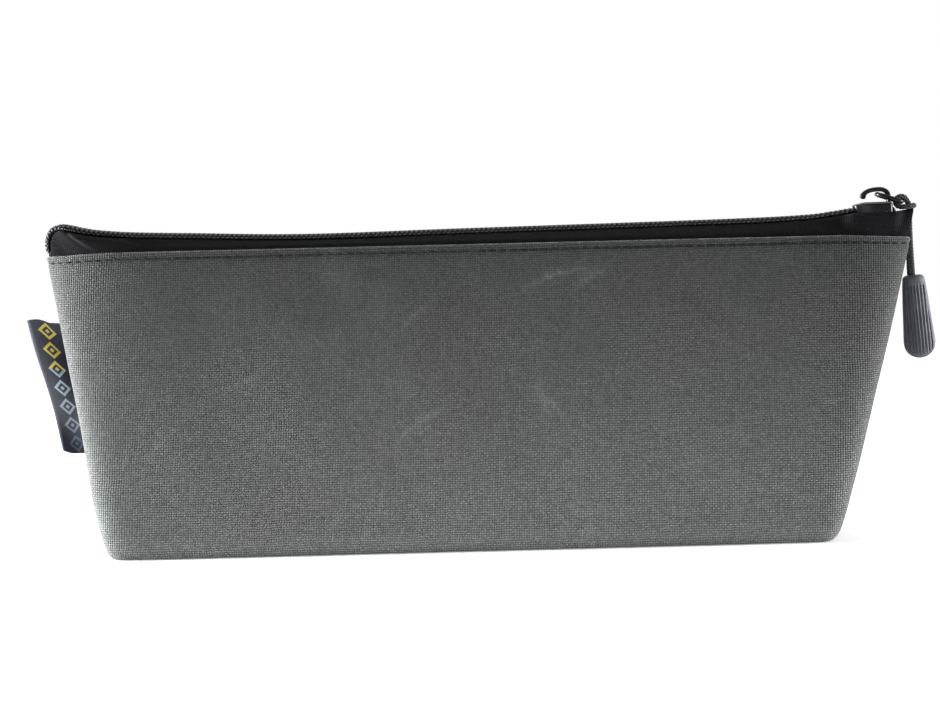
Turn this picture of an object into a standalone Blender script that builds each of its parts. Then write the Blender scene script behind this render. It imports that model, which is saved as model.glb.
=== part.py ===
"""Zip-top canvas pencil pouch on a boxed base.

Metres, +Z up. The origin is the centre of the base on the surface it stands on. +X runs along the zip to
the end where the slider parks, and -Y is the front.
"""

import functools
import math

import bmesh
import bpy
import numpy as np
from mathutils import Matrix, Vector

MM = 0.001

# Pouch walls, outer surface
BASE_HALF_LENGTH = 95.0 * MM
BASE_HALF_DEPTH = 22.0 * MM
MOUTH_HALF_LENGTH = 114.5 * MM
MOUTH_HALF_DEPTH = 7.8 * MM
MOUTH_SHIFT = 2.75 * MM  # the mouth leans this far towards the slider's end
WALL_HEIGHT = 79.0 * MM
WALL_TILT = 1.05 * MM  # the hem is this much higher at -X and lower at +X
BASE_POWERS = (38.0, 9.0)  # superellipse powers of the base's outline: a rounded rectangle
MOUTH_POWERS = (12.0, 1.5)  # and of the mouth's outline: a pointed slot
CANVAS = 0.9 * MM
FOLD_RADIUS = 2.0 * MM  # of the fold between the base and the walls
GAP = 0.3 * MM
FACE_SHARE = 0.80  # share of the half girth that belongs to the front or back face
SEAM_EDGE = (0.2 * MM, 0.9 * MM)  # half gap left between front and back at a side seam: base, mouth

# Zip
CHAIN_TOP = (  # (x, z) of the coil's top line, from the left side seam to the right one, in millimetres
    (-111.5, 81.6),
    (-111.2, 84.0),
    (-109.9, 86.2),
    (-107.2, 87.5),
    (-103.5, 87.3),
    (-97.0, 86.2),
    (-88.0, 85.2),
    (-72.0, 84.4),
    (-42.0, 83.1),
    (0.0, 83.3),
    (60.0, 83.4),
    (88.0, 83.7),
    (97.0, 84.4),
    (103.0, 85.1),
    (112.0, 85.1),
    (117.2, 85.9),
)
CHAIN_SPACING = 2.6  # millimetres between the points worked out along it
COIL_WIDTH = 2.9 * MM
COIL_THICKNESS = 1.5 * MM
COIL_END = 112.4 * MM
MESH_GAP = 0.15 * MM  # half the gap between the two coil halves
TAPE_THICKNESS = 0.5 * MM
TAPE_DEPTH = 1.95 * MM  # of the tape's middle under the coil's top line
TAPE_SEWN = 6.0 * MM  # tape hidden behind the hem
TAPE_BESIDE = 0.4 * MM  # flat tape beside the coil
TAPE_CLOSES = (111.0 * MM, 113.0 * MM)  # past the slider the tapes draw together between these x
TAPE_END_CLEAR = 0.7 * MM
TAPE_DROP = 0.1 * MM  # of the flat tape's outer edge
NARROW_LEFT = (-111.75 * MM, -105.0 * MM, 0.45)  # x from and to, and the share of the width at the seam
NARROW_RIGHT = (115.2 * MM, 112.8 * MM, 0.2)
HIDDEN_SHARE = 0.95  # share of the half girth that the hidden part reaches
COIL_LEAN = ((-111.0, 50.0), (-98.0, 25.0), (-80.0, 12.0), (80.0, 8.0), (97.0, 0.0), (118.0, 0.0))  # mm, degrees

# Slider
SLIDER_X = 107.2 * MM
SLIDER_TRAVEL = 204.0 * MM
SLIDER_LENGTH = 9.8 * MM
SLIDER_HALF_WIDTH = 5.0 * MM
SLIDER_FLOOR_HALF_WIDTH = 3.9 * MM
SLIDER_FLOOR_SHORTER = 1.0 * MM  # the lower plate ends before the upper one at the wide end
SLIDER_PLATE = 1.0 * MM
SLIDER_CHANNEL = (82.6 * MM, 85.35 * MM)  # z of the channel's floor and roof
SLIDER_WIDENING = 1.25 * MM  # how far each coil half spreads round the post
SLOT_HALF_WIDTH = 5.7 * MM  # the tape stays flat out to here beside the slider
SLOT_FADE = (5.4 * MM, 8.4 * MM)  # distances from the slider's middle between which that fades
SPREAD_START = 4.0 * MM  # before the slider's middle, where the coil halves start to part
POST = (109.7 * MM, 2.4 * MM, 1.8 * MM)  # x, length, width
FLANGE = (0.5 * MM, 1.4 * MM)  # width, drop
FLANGE_INSET = (0.2 * MM, 0.02 * MM)  # from the upper plate's ends and from its sides
UNION_OVERLAP = 0.2 * MM
CROWN_PATH = (  # (x, z) along the middle of the hook's band, free end first, in millimetres
    (104.9, 87.45),
    (105.2, 88.5),
    (106.3, 89.35),
    (108.2, 89.75),
    (110.0, 89.6),
    (111.2, 88.8),
    (111.55, 87.6),
    (111.55, 86.6),
)
CROWN_THICKNESS = 1.0 * MM
CROWN_HALF_WIDTH = 0.9 * MM
CROWN_SPACING = 0.6

# Pull
RING_WIRE = 0.6 * MM
RING_PIVOT = Vector((108.6, 0.0, 88.4)) * MM
RING_BAR = Vector((114.9, 0.0, 86.4)) * MM
RING_HALF_WIDTH = 2.1 * MM
RING_ROUNDNESS = 0.5  # power of the cosine and sine: 1 is an ellipse, less is squarer
CORD_RADIUS = 0.7 * MM
CORD_WRAP = 1.55 * MM  # from the ring's wire to the cord's middle
WRAP_TURNS = (55, 90, 135, 180, 225, 270, 300)  # degrees round the wire
WRAP_SIDE = 0.25 * MM  # how far the loop's start lies to the back of its middle
CORD_OUTER = (  # (x, y, z) from the grip up to the ring, in millimetres
    (117.9, 3.9, 67.4),
    (118.0, 3.7, 72.0),
    (118.0, 3.2, 77.5),
    (118.3, 2.5, 82.0),
    (118.3, 1.7, 84.8),
    (117.0, 0.9, 87.0),
)
CORD_INNER = (  # and from the ring back down to the grip
    (115.9, 1.3, 85.6),
    (116.3, 2.6, 84.8),
    (116.3, 3.3, 82.0),
    (116.3, 3.8, 77.5),
    (116.4, 4.0, 72.0),
    (116.5, 4.0, 67.4),
)
CORD_SPACING = 1.1 * MM
GRIP_TOP = Vector((117.2, 3.9, 67.0)) * MM
GRIP_BOTTOM = Vector((119.2, 3.9, 45.5)) * MM
GRIP_HALF_WIDTHS = (3.1 * MM, 4.0 * MM)  # at the top and at the bottom
GRIP_HALF_THICKNESS = 2.8 * MM

# Label and inner bindings
LABEL_TOP = 62.5 * MM
LABEL_BOTTOM = 27.0 * MM
LABEL_WIDTHS = (9.2 * MM, 8.0 * MM)  # how far it stands out of the seam at its top and bottom
LABEL_THICKNESS = 1.0 * MM
BINDING_WIDTH = 6.8 * MM
BINDING_THICKNESS = 1.4 * MM
LABEL_WAVE = (0.9 * MM, 1.1)  # height and number of waves down its outer edge
LABEL_LIFT = 1.2 * MM  # of its outer edge over its sewn one
SEAM_BINDING_HEIGHTS = (5.0 * MM, 71.0 * MM)
SEAM_BINDING_INSET = 2.2 * MM
CORNER_BINDING_HALF_LENGTH = 17.0 * MM
CORNER_BINDING_INSET = 2.6 * MM
STITCH_RADIUS = 0.2 * MM
STITCH_DROP = 1.9 * MM


# ---------------------------------------------------------------- scene helpers

def clear_scene():
    for old in list(bpy.data.objects):
        bpy.data.objects.remove(old)


def material(name, colour, roughness, metallic=0.0):
    made = bpy.data.materials.new(name)
    made.use_nodes = True
    shader = made.node_tree.nodes["Principled BSDF"]
    shader.inputs["Base Color"].default_value = (*colour, 1.0)
    shader.inputs["Roughness"].default_value = roughness
    shader.inputs["Metallic"].default_value = metallic
    return made


def place(name, data, surface, body=None, group="pencil_pouch"):
    """An object for data, whose points are world coordinates, under its body's empty."""
    made = bpy.data.objects.new(name, data)
    bpy.data.collections[group].objects.link(made)
    if surface:
        data.materials.append(surface)
    if body:
        made.parent = body
        made.location = -body.location
    return made


def body_empty(name, location):
    made = bpy.data.objects.new(name, None)
    made.location = location
    made.empty_display_size = 0.01
    bpy.data.collections["pencil_pouch"].objects.link(made)
    return made


def smooth(mesh):
    mesh.shade_smooth()
    mesh.set_sharp_from_angle(angle=math.radians(40))


def sheet(name, columns, rows, point, thickness, surface, body=None, offset=-1.0):
    """A grid whose point(across, up), both 0 to 1, gives its surface, thickened inwards."""
    bm = bmesh.new()
    bmesh.ops.create_grid(bm, x_segments=columns, y_segments=rows, size=0.5)
    for vert in bm.verts:
        vert.co = point(vert.co.x + 0.5, vert.co.y + 0.5)
    mesh = bpy.data.meshes.new(name)
    bm.to_mesh(mesh)
    bm.free()
    smooth(mesh)
    made = place(name, mesh, surface, body)
    solid = made.modifiers.new("thickness", "SOLIDIFY")
    solid.thickness = thickness
    solid.offset = offset
    return made


def tube(name, points, radius, surface, body=None, cyclic=False, resolution=2):
    curve = bpy.data.curves.new(name, "CURVE")
    curve.dimensions = "3D"
    curve.bevel_depth = radius
    curve.bevel_resolution = resolution
    curve.use_fill_caps = not cyclic
    spline = curve.splines.new("POLY")
    spline.points.add(len(points) - 1)
    for knot, at in zip(spline.points, points):
        knot.co = (*at, 1.0)
    spline.use_cyclic_u = cyclic
    return place(name, curve, surface, body)


def through(points, spacing):
    """Evenly spaced points of a smooth curve through the given ones (Catmull-Rom)."""
    knots = np.array(points, float)
    knots = np.vstack([2 * knots[0] - knots[1], knots, 2 * knots[-1] - knots[-2]])
    fine = []
    for before, start, end, after in zip(knots, knots[1:], knots[2:], knots[3:]):
        for t in np.linspace(0, 1, 24, endpoint=False):
            line = 2 * start + (end - before) * t
            bend = (2 * before - 5 * start + 4 * end - after) * t**2
            twist = (3 * start - before - 3 * end + after) * t**3
            fine.append(0.5 * (line + bend + twist))
    fine = np.array(fine + [knots[-2]])
    along = np.concatenate([[0], np.cumsum(np.linalg.norm(np.diff(fine, axis=0), axis=1))])
    count = max(2, round(along[-1] / spacing) + 1)
    even = np.linspace(0, along[-1], count)
    return np.stack([np.interp(even, along, fine[:, k]) for k in range(fine.shape[1])], axis=1)


def ease(value, start, end):
    """0 before start, 1 after end, smooth between."""
    t = min(max((value - start) / (end - start), 0.0), 1.0)
    return t * t * (3 - 2 * t)


def mix(low, high, share):
    return low + (high - low) * share


# ---------------------------------------------------------------- pouch walls

def outline(up):
    """Quarter outline at height share up, from the middle of the face to the side seam, evenly spaced."""
    length = mix(BASE_HALF_LENGTH, MOUTH_HALF_LENGTH, up)
    depth = mix(BASE_HALF_DEPTH, MOUTH_HALF_DEPTH, up)
    end_power = mix(BASE_POWERS[0], MOUTH_POWERS[0], up)
    side_power = mix(BASE_POWERS[1], MOUTH_POWERS[1], up)
    edge = mix(SEAM_EDGE[0], SEAM_EDGE[1], up * up)
    x_face = np.linspace(0, 0.5 ** (1 / end_power), 200)
    y_face = (1 - x_face**end_power) ** (1 / side_power)
    y_end = np.linspace(0.5 ** (1 / side_power), edge / depth, 200)[1:]
    x_end = (1 - y_end**side_power) ** (1 / end_power)
    x = np.concatenate([x_face, x_end]) * length
    y = np.concatenate([y_face, y_end]) * depth
    along = np.concatenate([[0], np.cumsum(np.hypot(np.diff(x), np.diff(y)))])
    return x, y, along / along[-1]


def wall_point(share, up, side, inset=0.0):
    """A point inset from the outer surface: share -1 to 1 of the half girth, up 0 to 1, side -1 front, 1 back."""
    x, y, along = outline(up)
    run, drop = np.gradient(x), np.gradient(y)
    length = np.hypot(run, drop)
    x, y = x + drop / length * inset, y - run / length * inset
    across = math.copysign(np.interp(abs(share), along, x), share)
    height = up * (WALL_HEIGHT - WALL_TILT * share)
    return Vector((across + MOUTH_SHIFT * up, side * np.interp(abs(share), along, y), height))


def wall_start():
    """Height share at which the walls start above the base's rim."""
    return (FOLD_RADIUS + 2 * GAP) / WALL_HEIGHT


def wall(name, low, high, columns, side, surface, body=None):
    """A wall between two shares of the half girth."""
    rows = 8
    start = wall_start()

    def point(across, up):
        share = mix(low, high, across if side < 0 else 1 - across)
        return wall_point(share, mix(start, 1.0, up), side)

    return sheet(name, columns, rows, point, CANVAS, surface, body)


def base_panel(surface):
    """The base: a flat floor whose edge turns up round the fold, open on top."""
    levels = 3
    bm = bmesh.new()
    bmesh.ops.create_circle(bm, segments=72, radius=1.0, cap_ends=True)
    edges = bm.edges[:]
    for level in range(levels):
        grown = bmesh.ops.extrude_edge_only(bm, edges=edges)["geom"]
        edges = [part for part in grown if isinstance(part, bmesh.types.BMEdge)]
        for vert in (part for part in grown if isinstance(part, bmesh.types.BMVert)):
            vert.co.z = level + 1
    for vert in bm.verts:
        turn = math.radians(90) * vert.co.z / levels
        inset = FOLD_RADIUS * (1 - math.sin(turn))
        height = FOLD_RADIUS * (1 - math.cos(turn))
        vert.co = rim_point(math.atan2(vert.co.y, vert.co.x), inset, height)
    bmesh.ops.recalc_face_normals(bm, faces=bm.faces)
    mesh = bpy.data.meshes.new("base_panel")
    bm.to_mesh(mesh)
    bm.free()
    smooth(mesh)
    made = place("base_panel", mesh, surface)
    solid = made.modifiers.new("thickness", "SOLIDIFY")
    solid.thickness = CANVAS
    solid.offset = -1.0


def rim_point(angle, inset, height):
    """A point of the base's rounded-rectangle outline, drawn in by inset."""
    length = BASE_HALF_LENGTH - inset
    depth = BASE_HALF_DEPTH - inset
    end_power, side_power = BASE_POWERS
    x = math.copysign(abs(math.cos(angle)) ** (2 / end_power), math.cos(angle)) * length
    y = math.copysign(abs(math.sin(angle)) ** (2 / side_power), math.sin(angle)) * depth
    return Vector((x, y, height))


def stitch_row(side):
    """The topstitch thread, just proud of the face below its hem."""
    lines = []
    for share in np.linspace(-FACE_SHARE + 0.01, FACE_SHARE - 0.01, 41):
        at = wall_point(share, 1.0 - STITCH_DROP / WALL_HEIGHT, side)
        at.y += side * (STITCH_RADIUS + GAP)
        lines.append(at)
    return lines


# ---------------------------------------------------------------- zip

@functools.lru_cache(maxsize=None)
def chain_line():
    """The coil's top line, evenly spaced, as (x, z) points and their outward normals."""
    points = through(CHAIN_TOP, CHAIN_SPACING) * MM
    along = np.gradient(points, axis=0)
    along /= np.linalg.norm(along, axis=1)[:, None]
    return points, np.stack([-along[:, 1], along[:, 0]], axis=1)


def chain_frame(share):
    """Place and outward normal on the coil's top line at a share of its length."""
    points, normals = chain_line()
    at = share * (len(points) - 1)
    low = min(int(at), len(points) - 2)
    spot = mix(points[low], points[low + 1], at - low)
    out = mix(normals[low], normals[low + 1], at - low)
    return spot, out / np.linalg.norm(out)


def slider_zone(x):
    """1 beside the slider where it parks, at either end of its travel, and 0 away from it."""
    centre = SLIDER_X if x > 0 else SLIDER_X - SLIDER_TRAVEL
    return 1.0 - ease(abs(x - centre), *SLOT_FADE)


def spread(x):
    """How far the parked slider's post pushes each coil half aside."""
    return SLIDER_WIDENING * ease(x, SLIDER_X - SPREAD_START, POST[0] - POST[1] / 2)


def narrowing(x):
    """The tapes close up where they run into the side seams."""
    seam, full, share = NARROW_LEFT
    left = mix(share, 1.0, ease(x, seam, full))
    seam, full, share = NARROW_RIGHT
    right = mix(share, 1.0, ease(-x, -seam, -full))
    return min(left, right)


def tape_clear(x):
    """How far the tape's inner edge keeps from the chain's middle."""
    closing = ease(x, *TAPE_CLOSES)
    return 2 * MESH_GAP + max(spread(x) * (1 - closing), TAPE_END_CLEAR * closing)


def lean_at(x):
    places, angles = zip(*COIL_LEAN)
    return math.radians(np.interp(x / MM, places, angles))


def chain_point(share, clear, across, depth, side):
    """A point beside the chain: clear of its middle, then across the leaning coil, depth below its top."""
    spot, out = chain_frame(share)
    lean = lean_at(spot[0])
    width = across * narrowing(spot[0])
    x, z = spot - out * (depth + width * math.sin(lean))
    return Vector((x, side * (clear + width * math.cos(lean)), z))


def coil_strip(name, side, surface, body):
    """One half of the coil, as the solid strip that its turns fill."""
    points, _ = chain_line()
    last = np.interp(COIL_END, points[:, 0], np.linspace(0, 1, len(points)))

    def point(along, across):
        share = along * last
        x = chain_frame(share)[0][0]
        clear = MESH_GAP + spread(x) + COIL_THICKNESS / 2 * math.sin(lean_at(x))
        reach = (across if side < 0 else 1 - across) * COIL_WIDTH
        return chain_point(share, clear, reach, COIL_THICKNESS / 2, side)

    sheet(name, 88, 1, point, COIL_THICKNESS, surface, body, offset=0.0)


def tape_sheet(name, side, surface, body):
    """One zip tape: flat under the coil, then down to the hem and behind it."""
    rows = 5

    def point(along, across):
        level = round((across if side > 0 else 1 - across) * rows)
        if level > 2:
            return hidden_tape(along, (level - 3) * TAPE_SEWN / 2, side)
        x = chain_frame(along)[0][0]
        lean = lean_at(x)
        clear = tape_clear(x) + TAPE_THICKNESS / 2 * math.sin(lean)
        depth = COIL_THICKNESS / 2 + (TAPE_DEPTH - COIL_THICKNESS / 2) / math.cos(lean)
        if level == 0:
            return chain_point(along, clear, 0.0, depth, side)
        if level == 1:
            return chain_point(along, clear, COIL_WIDTH, depth, side)
        beside = COIL_WIDTH + TAPE_BESIDE
        beside = mix(beside, max(beside, SLOT_HALF_WIDTH - clear), slider_zone(x))
        return chain_point(along, clear, beside, depth + TAPE_DROP, side)

    sheet(name, 92, rows, point, TAPE_THICKNESS, surface, body, offset=0.0)


def hidden_tape(along, below, side):
    """A point of the tape behind the canvas, below its top edge."""
    up = 1.0 - max(below - GAP, 0.0) / WALL_HEIGHT
    share = mix(-HIDDEN_SHARE, HIDDEN_SHARE, along)
    at = wall_point(share, up, side, CANVAS + GAP + TAPE_THICKNESS / 2)
    at.z += max(GAP - below, 0.0)
    return at


# ---------------------------------------------------------------- slider and pull

def block(name, size, centre, group="cutters"):
    bm = bmesh.new()
    bmesh.ops.create_cube(bm, size=1.0)
    bmesh.ops.scale(bm, vec=size, verts=bm.verts)
    bmesh.ops.translate(bm, vec=centre, verts=bm.verts)
    mesh = bpy.data.meshes.new(name)
    bm.to_mesh(mesh)
    bm.free()
    made = place(name, mesh, None, group=group)
    if group == "cutters":
        made.hide_render = True
        made.display_type = "WIRE"
    return made


def slider_body(surface, body):
    """Two plates joined by the post that splits the chain, with side flanges under the upper plate."""
    floor, roof = SLIDER_CHANNEL
    width = 2 * SLIDER_HALF_WIDTH
    plate = (SLIDER_LENGTH, width, SLIDER_PLATE)
    made = block("slider_body", plate, (SLIDER_X, 0, roof + SLIDER_PLATE / 2), group="pencil_pouch")
    made.data.materials.append(surface)
    lower = (SLIDER_LENGTH - SLIDER_FLOOR_SHORTER, 2 * SLIDER_FLOOR_HALF_WIDTH, SLIDER_PLATE)
    lower_x = SLIDER_X - SLIDER_FLOOR_SHORTER / 2
    joined = [block("slider_floor", lower, (lower_x, 0, floor - SLIDER_PLATE / 2))]
    post_x, post_length, post_width = POST
    post_size = (post_length, post_width, roof - floor + 2 * UNION_OVERLAP)
    joined.append(block("slider_post", post_size, (post_x, 0, (roof + floor) / 2)))
    flange, drop = FLANGE
    end_inset, side_inset = FLANGE_INSET
    for side in (-1, 1):
        size = (SLIDER_LENGTH - 2 * end_inset, flange, drop + UNION_OVERLAP)
        y = side * (SLIDER_HALF_WIDTH - flange / 2 - side_inset)
        z = roof - (drop - UNION_OVERLAP) / 2
        joined.append(block(f"slider_flange_{side}", size, (SLIDER_X, y, z)))
    for piece in joined:
        union = made.modifiers.new(piece.name, "BOOLEAN")
        union.operation = "UNION"
        union.object = piece
    made.parent = body
    made.location = -body.location


def band_outline(path, thickness):
    """The closed outline of a band of this thickness along an (x, z) path."""
    line = through(path, CROWN_SPACING) * MM
    along = np.gradient(line, axis=0)
    along /= np.linalg.norm(along, axis=1)[:, None]
    out = np.stack([-along[:, 1], along[:, 0]], axis=1) * thickness / 2
    return np.vstack([line + out, (line - out)[::-1]])


def slider_crown(surface, body):
    """The open hook on the slider, a flat band seen from its edge."""
    curve = bpy.data.curves.new("slider_crown", "CURVE")
    curve.dimensions = "2D"
    curve.fill_mode = "BOTH"
    curve.extrude = CROWN_HALF_WIDTH
    points = band_outline(CROWN_PATH, CROWN_THICKNESS)
    spline = curve.splines.new("POLY")
    spline.points.add(len(points) - 1)
    for knot, (x, z) in zip(spline.points, points):
        knot.co = (x, z, 0, 1)
    spline.use_cyclic_u = True
    made = place("slider_crown", curve, surface, body)
    made.rotation_euler = (math.radians(90), 0, 0)


def pull_ring(surface, body):
    """A wire loop lying in the plane of its two end bars."""
    middle = (RING_PIVOT + RING_BAR) / 2
    length = (RING_BAR - RING_PIVOT).length / 2
    lengthwise = (RING_BAR - RING_PIVOT).normalized()
    points = []
    for turn in np.linspace(0, 2 * math.pi, 28, endpoint=False):
        x = math.copysign(abs(math.cos(turn)) ** RING_ROUNDNESS, math.cos(turn)) * length
        y = math.copysign(abs(math.sin(turn)) ** RING_ROUNDNESS, math.sin(turn)) * RING_HALF_WIDTH
        points.append(middle + lengthwise * x + Vector((0, y, 0)))
    tube("pull_ring", points, RING_WIRE, surface, body, cyclic=True)


def cord_points():
    """The cord's middle: up from the grip, round the ring's bar and back down to the grip."""
    wrap = []
    for degrees in WRAP_TURNS:
        turn = math.radians(degrees)
        side = (180 - degrees) / (180 - WRAP_TURNS[0]) * WRAP_SIDE
        wrap.append(RING_BAR + Vector((math.cos(turn) * CORD_WRAP, side, math.sin(turn) * CORD_WRAP)))
    route = [Vector(at) * MM for at in CORD_OUTER] + wrap + [Vector(at) * MM for at in CORD_INNER]
    return through([tuple(at) for at in route], CORD_SPACING)


def pull_grip(surface, body):
    """A moulded teardrop: a superellipsoid, wider towards its lower end."""
    axis = GRIP_BOTTOM - GRIP_TOP
    half = axis.length / 2
    bm = bmesh.new()
    bmesh.ops.create_uvsphere(bm, u_segments=24, v_segments=16, radius=1.0)
    for vert in bm.verts:
        height = math.copysign(abs(vert.co.z) ** 0.5, vert.co.z)
        radius = math.hypot(vert.co.x, vert.co.y)
        swell = radius**-0.5 if radius > 1e-6 else 0.0
        width = mix(GRIP_HALF_WIDTHS[1], GRIP_HALF_WIDTHS[0], (height + 1) / 2)
        vert.co = (vert.co.x * swell * width, vert.co.y * swell * GRIP_HALF_THICKNESS, height * half)
    tilt = Vector((0, 0, -1)).rotation_difference(axis.normalized()).to_matrix().to_4x4()
    bmesh.ops.transform(bm, matrix=Matrix.Translation((GRIP_TOP + GRIP_BOTTOM) / 2) @ tilt, verts=bm.verts)
    mesh = bpy.data.meshes.new("pull_grip")
    bm.to_mesh(mesh)
    bm.free()
    smooth(mesh)
    place("pull_grip", mesh, surface, body)


# ---------------------------------------------------------------- label and bindings

def seam_x(height, end):
    """x of a side seam at a height, end -1 or 1."""
    up = height / WALL_HEIGHT
    return end * mix(BASE_HALF_LENGTH, MOUTH_HALF_LENGTH, up) + MOUTH_SHIFT * up


def woven_label(surface):
    """A ribbon folded double, standing out of the left side seam with a slight wave."""

    def point(across, up):
        height = mix(LABEL_BOTTOM, LABEL_TOP, up)
        width = mix(LABEL_WIDTHS[1], LABEL_WIDTHS[0], up)
        x = seam_x(height, -1) - GAP - width * (1 - across)
        depth, count = LABEL_WAVE
        wave = depth * math.sin(2 * math.pi * count * up) * (1 - across)
        return Vector((x, wave, height + LABEL_LIFT * (1 - across)))

    sheet("woven_label", 4, 14, point, LABEL_THICKNESS, surface, offset=0.0)


def seam_binding(name, end, surface):
    """Binding tape round the side seam's raw edges, standing in from the seam inside the pouch."""

    def point(across, up):
        height = mix(*SEAM_BINDING_HEIGHTS, up)
        inset = SEAM_BINDING_INSET + BINDING_WIDTH * across
        return Vector((seam_x(height, end) - end * inset, 0, height))

    sheet(name, 1, 4, point, BINDING_THICKNESS, surface, offset=0.0)


def corner_binding(name, end, surface):
    """Binding tape round a boxed corner's raw edges, lying on the base."""
    height = CANVAS + GAP + BINDING_THICKNESS / 2

    def point(across, along):
        x = end * (BASE_HALF_LENGTH - CORNER_BINDING_INSET - BINDING_WIDTH * across)
        return Vector((x, mix(-CORNER_BINDING_HALF_LENGTH, CORNER_BINDING_HALF_LENGTH, along), height))

    sheet(name, 1, 4, point, BINDING_THICKNESS, surface, offset=0.0)


# ---------------------------------------------------------------- the pouch

def build():
    clear_scene()
    for group in ("pencil_pouch", "cutters"):
        bpy.context.scene.collection.children.link(bpy.data.collections.new(group))

    canvas = material("canvas", (0.14, 0.15, 0.145), 0.8)
    tape_cloth = material("zip_tape", (0.012, 0.012, 0.014), 0.9)
    coil_plastic = material("zip_coil", (0.01, 0.01, 0.011), 0.45)
    thread = material("thread", (0.02, 0.02, 0.022), 0.8)
    black_metal = material("slider_metal", (0.015, 0.015, 0.017), 0.35, 0.6)
    cord_braid = material("pull_cord", (0.06, 0.06, 0.062), 0.85)
    rubber = material("grip_rubber", (0.045, 0.05, 0.06), 0.6)
    ribbon = material("label_ribbon", (0.012, 0.014, 0.022), 0.8)
    binding = material("binding", (0.02, 0.02, 0.022), 0.9)

    base_panel(canvas)
    for end, word in ((-1, "left"), (1, "right")):
        for side, half in ((-1, "front"), (1, "back")):
            limits = sorted((end * (FACE_SHARE + 0.003), end * 1.0))
            wall(f"{word}_gusset_{half}", *limits, 9, side, canvas)
        seam_binding(f"{word}_seam_binding", end, binding)
        corner_binding(f"{word}_corner_binding", end, binding)
    woven_label(ribbon)

    for side, half in ((-1, "front"), (1, "back")):
        fold = wall_point(0.0, wall_start(), side)
        body = body_empty(f"{half}_hinge", (0, fold.y, fold.z))
        wall(f"{half}_panel", -FACE_SHARE, FACE_SHARE, 26, side, canvas, body)
        tube(f"{half}_topstitch", stitch_row(side), STITCH_RADIUS, thread, body, resolution=0)
        tape_sheet(f"{half}_tape", side, tape_cloth, body)
        coil_strip(f"{half}_coil", side, coil_plastic, body)

    slider = body_empty("slider", (SLIDER_X, 0, SLIDER_CHANNEL[1]))
    slider_body(black_metal, slider)
    slider_crown(black_metal, slider)
    pull_ring(black_metal, body_empty("ring_hinge", RING_PIVOT))
    tube("pull_cord", cord_points(), CORD_RADIUS, cord_braid, body_empty("cord_hinge", RING_BAR))
    pull_grip(rubber, body_empty("grip_hinge", GRIP_TOP))


build()
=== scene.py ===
"""Looks of the zip-top canvas pencil pouch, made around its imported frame.

Metres, +Z up, in the frame's axes: +X along the zip to the end where the slider parks, -Y the front.
"""

import math

import bmesh
import bpy
import numpy as np
from mathutils import Matrix, Vector


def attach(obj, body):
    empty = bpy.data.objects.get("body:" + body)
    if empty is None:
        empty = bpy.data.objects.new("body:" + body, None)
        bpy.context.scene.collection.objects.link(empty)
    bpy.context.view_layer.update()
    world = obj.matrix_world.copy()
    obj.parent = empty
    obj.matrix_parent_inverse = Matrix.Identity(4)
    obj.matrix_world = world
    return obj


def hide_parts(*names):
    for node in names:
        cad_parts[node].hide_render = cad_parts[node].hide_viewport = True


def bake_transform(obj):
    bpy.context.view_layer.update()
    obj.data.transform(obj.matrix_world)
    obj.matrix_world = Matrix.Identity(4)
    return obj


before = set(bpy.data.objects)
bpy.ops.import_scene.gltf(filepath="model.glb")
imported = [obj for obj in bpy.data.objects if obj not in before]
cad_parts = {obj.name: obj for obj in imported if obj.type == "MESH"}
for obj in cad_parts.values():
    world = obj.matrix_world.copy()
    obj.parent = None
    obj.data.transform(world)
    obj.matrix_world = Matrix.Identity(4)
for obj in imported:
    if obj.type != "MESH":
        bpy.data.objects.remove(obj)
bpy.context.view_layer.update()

MM = 0.001
LEFT, RIGHT = -1, 1
FRONT, BACK = -1, 1
END_WORDS = {LEFT: "left", RIGHT: "right"}
SIDE_WORDS = {FRONT: "front", BACK: "back"}

# ---------------- sizes

# Walls, close to the frame's
BASE_HALF_LENGTH = 95.6 * MM
BASE_HALF_DEPTH = 22.0 * MM
MOUTH_HALF_LENGTH = 114.5 * MM
MOUTH_HALF_DEPTH = 7.8 * MM
MOUTH_SHIFT = 2.75 * MM
BASE_SHIFT = -0.2 * MM
RIGHT_BULGE = 0.7 * MM
WALL_HEIGHT = 79.0 * MM
WALL_TILT = 1.05 * MM
BASE_POWERS = (38.0, 9.0)
MOUTH_POWERS = (12.0, 1.5)
CANVAS = 0.9 * MM
FOLD_RADIUS = 2.0 * MM
GAP = 0.3 * MM
WALL_START = (FOLD_RADIUS + 2 * GAP) / WALL_HEIGHT

# What only the cloth has
SEAM_HALF_GAP = 0.04 * MM
SEAM_TUCK = 0.9 * MM  # how far the side seam sinks in
SEAM_TUCK_WIDTH = 1.8 * MM
HEM_THICKNESS = 1.6 * MM
HEM_DEPTH = 8.0 * MM
STITCH_DROP = 1.9 * MM
STITCH_PITCH = 2.7 * MM
STITCH_LENGTH = 2.0 * MM
STITCH_RADIUS = 0.25 * MM
STITCH_SINK = 0.24 * MM  # how far the thread pulls the cloth in
WAVE_HEIGHT = 0.28 * MM
BASE_FILLET = 2.6 * MM
FOOT_ROUNDING = (1.1 * MM, 9.0 * MM)  # how far the ends draw in at the foot, and up to what height
HEM_DIP = 0.8 * MM  # how far the hem drops where it meets the side seams

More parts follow.
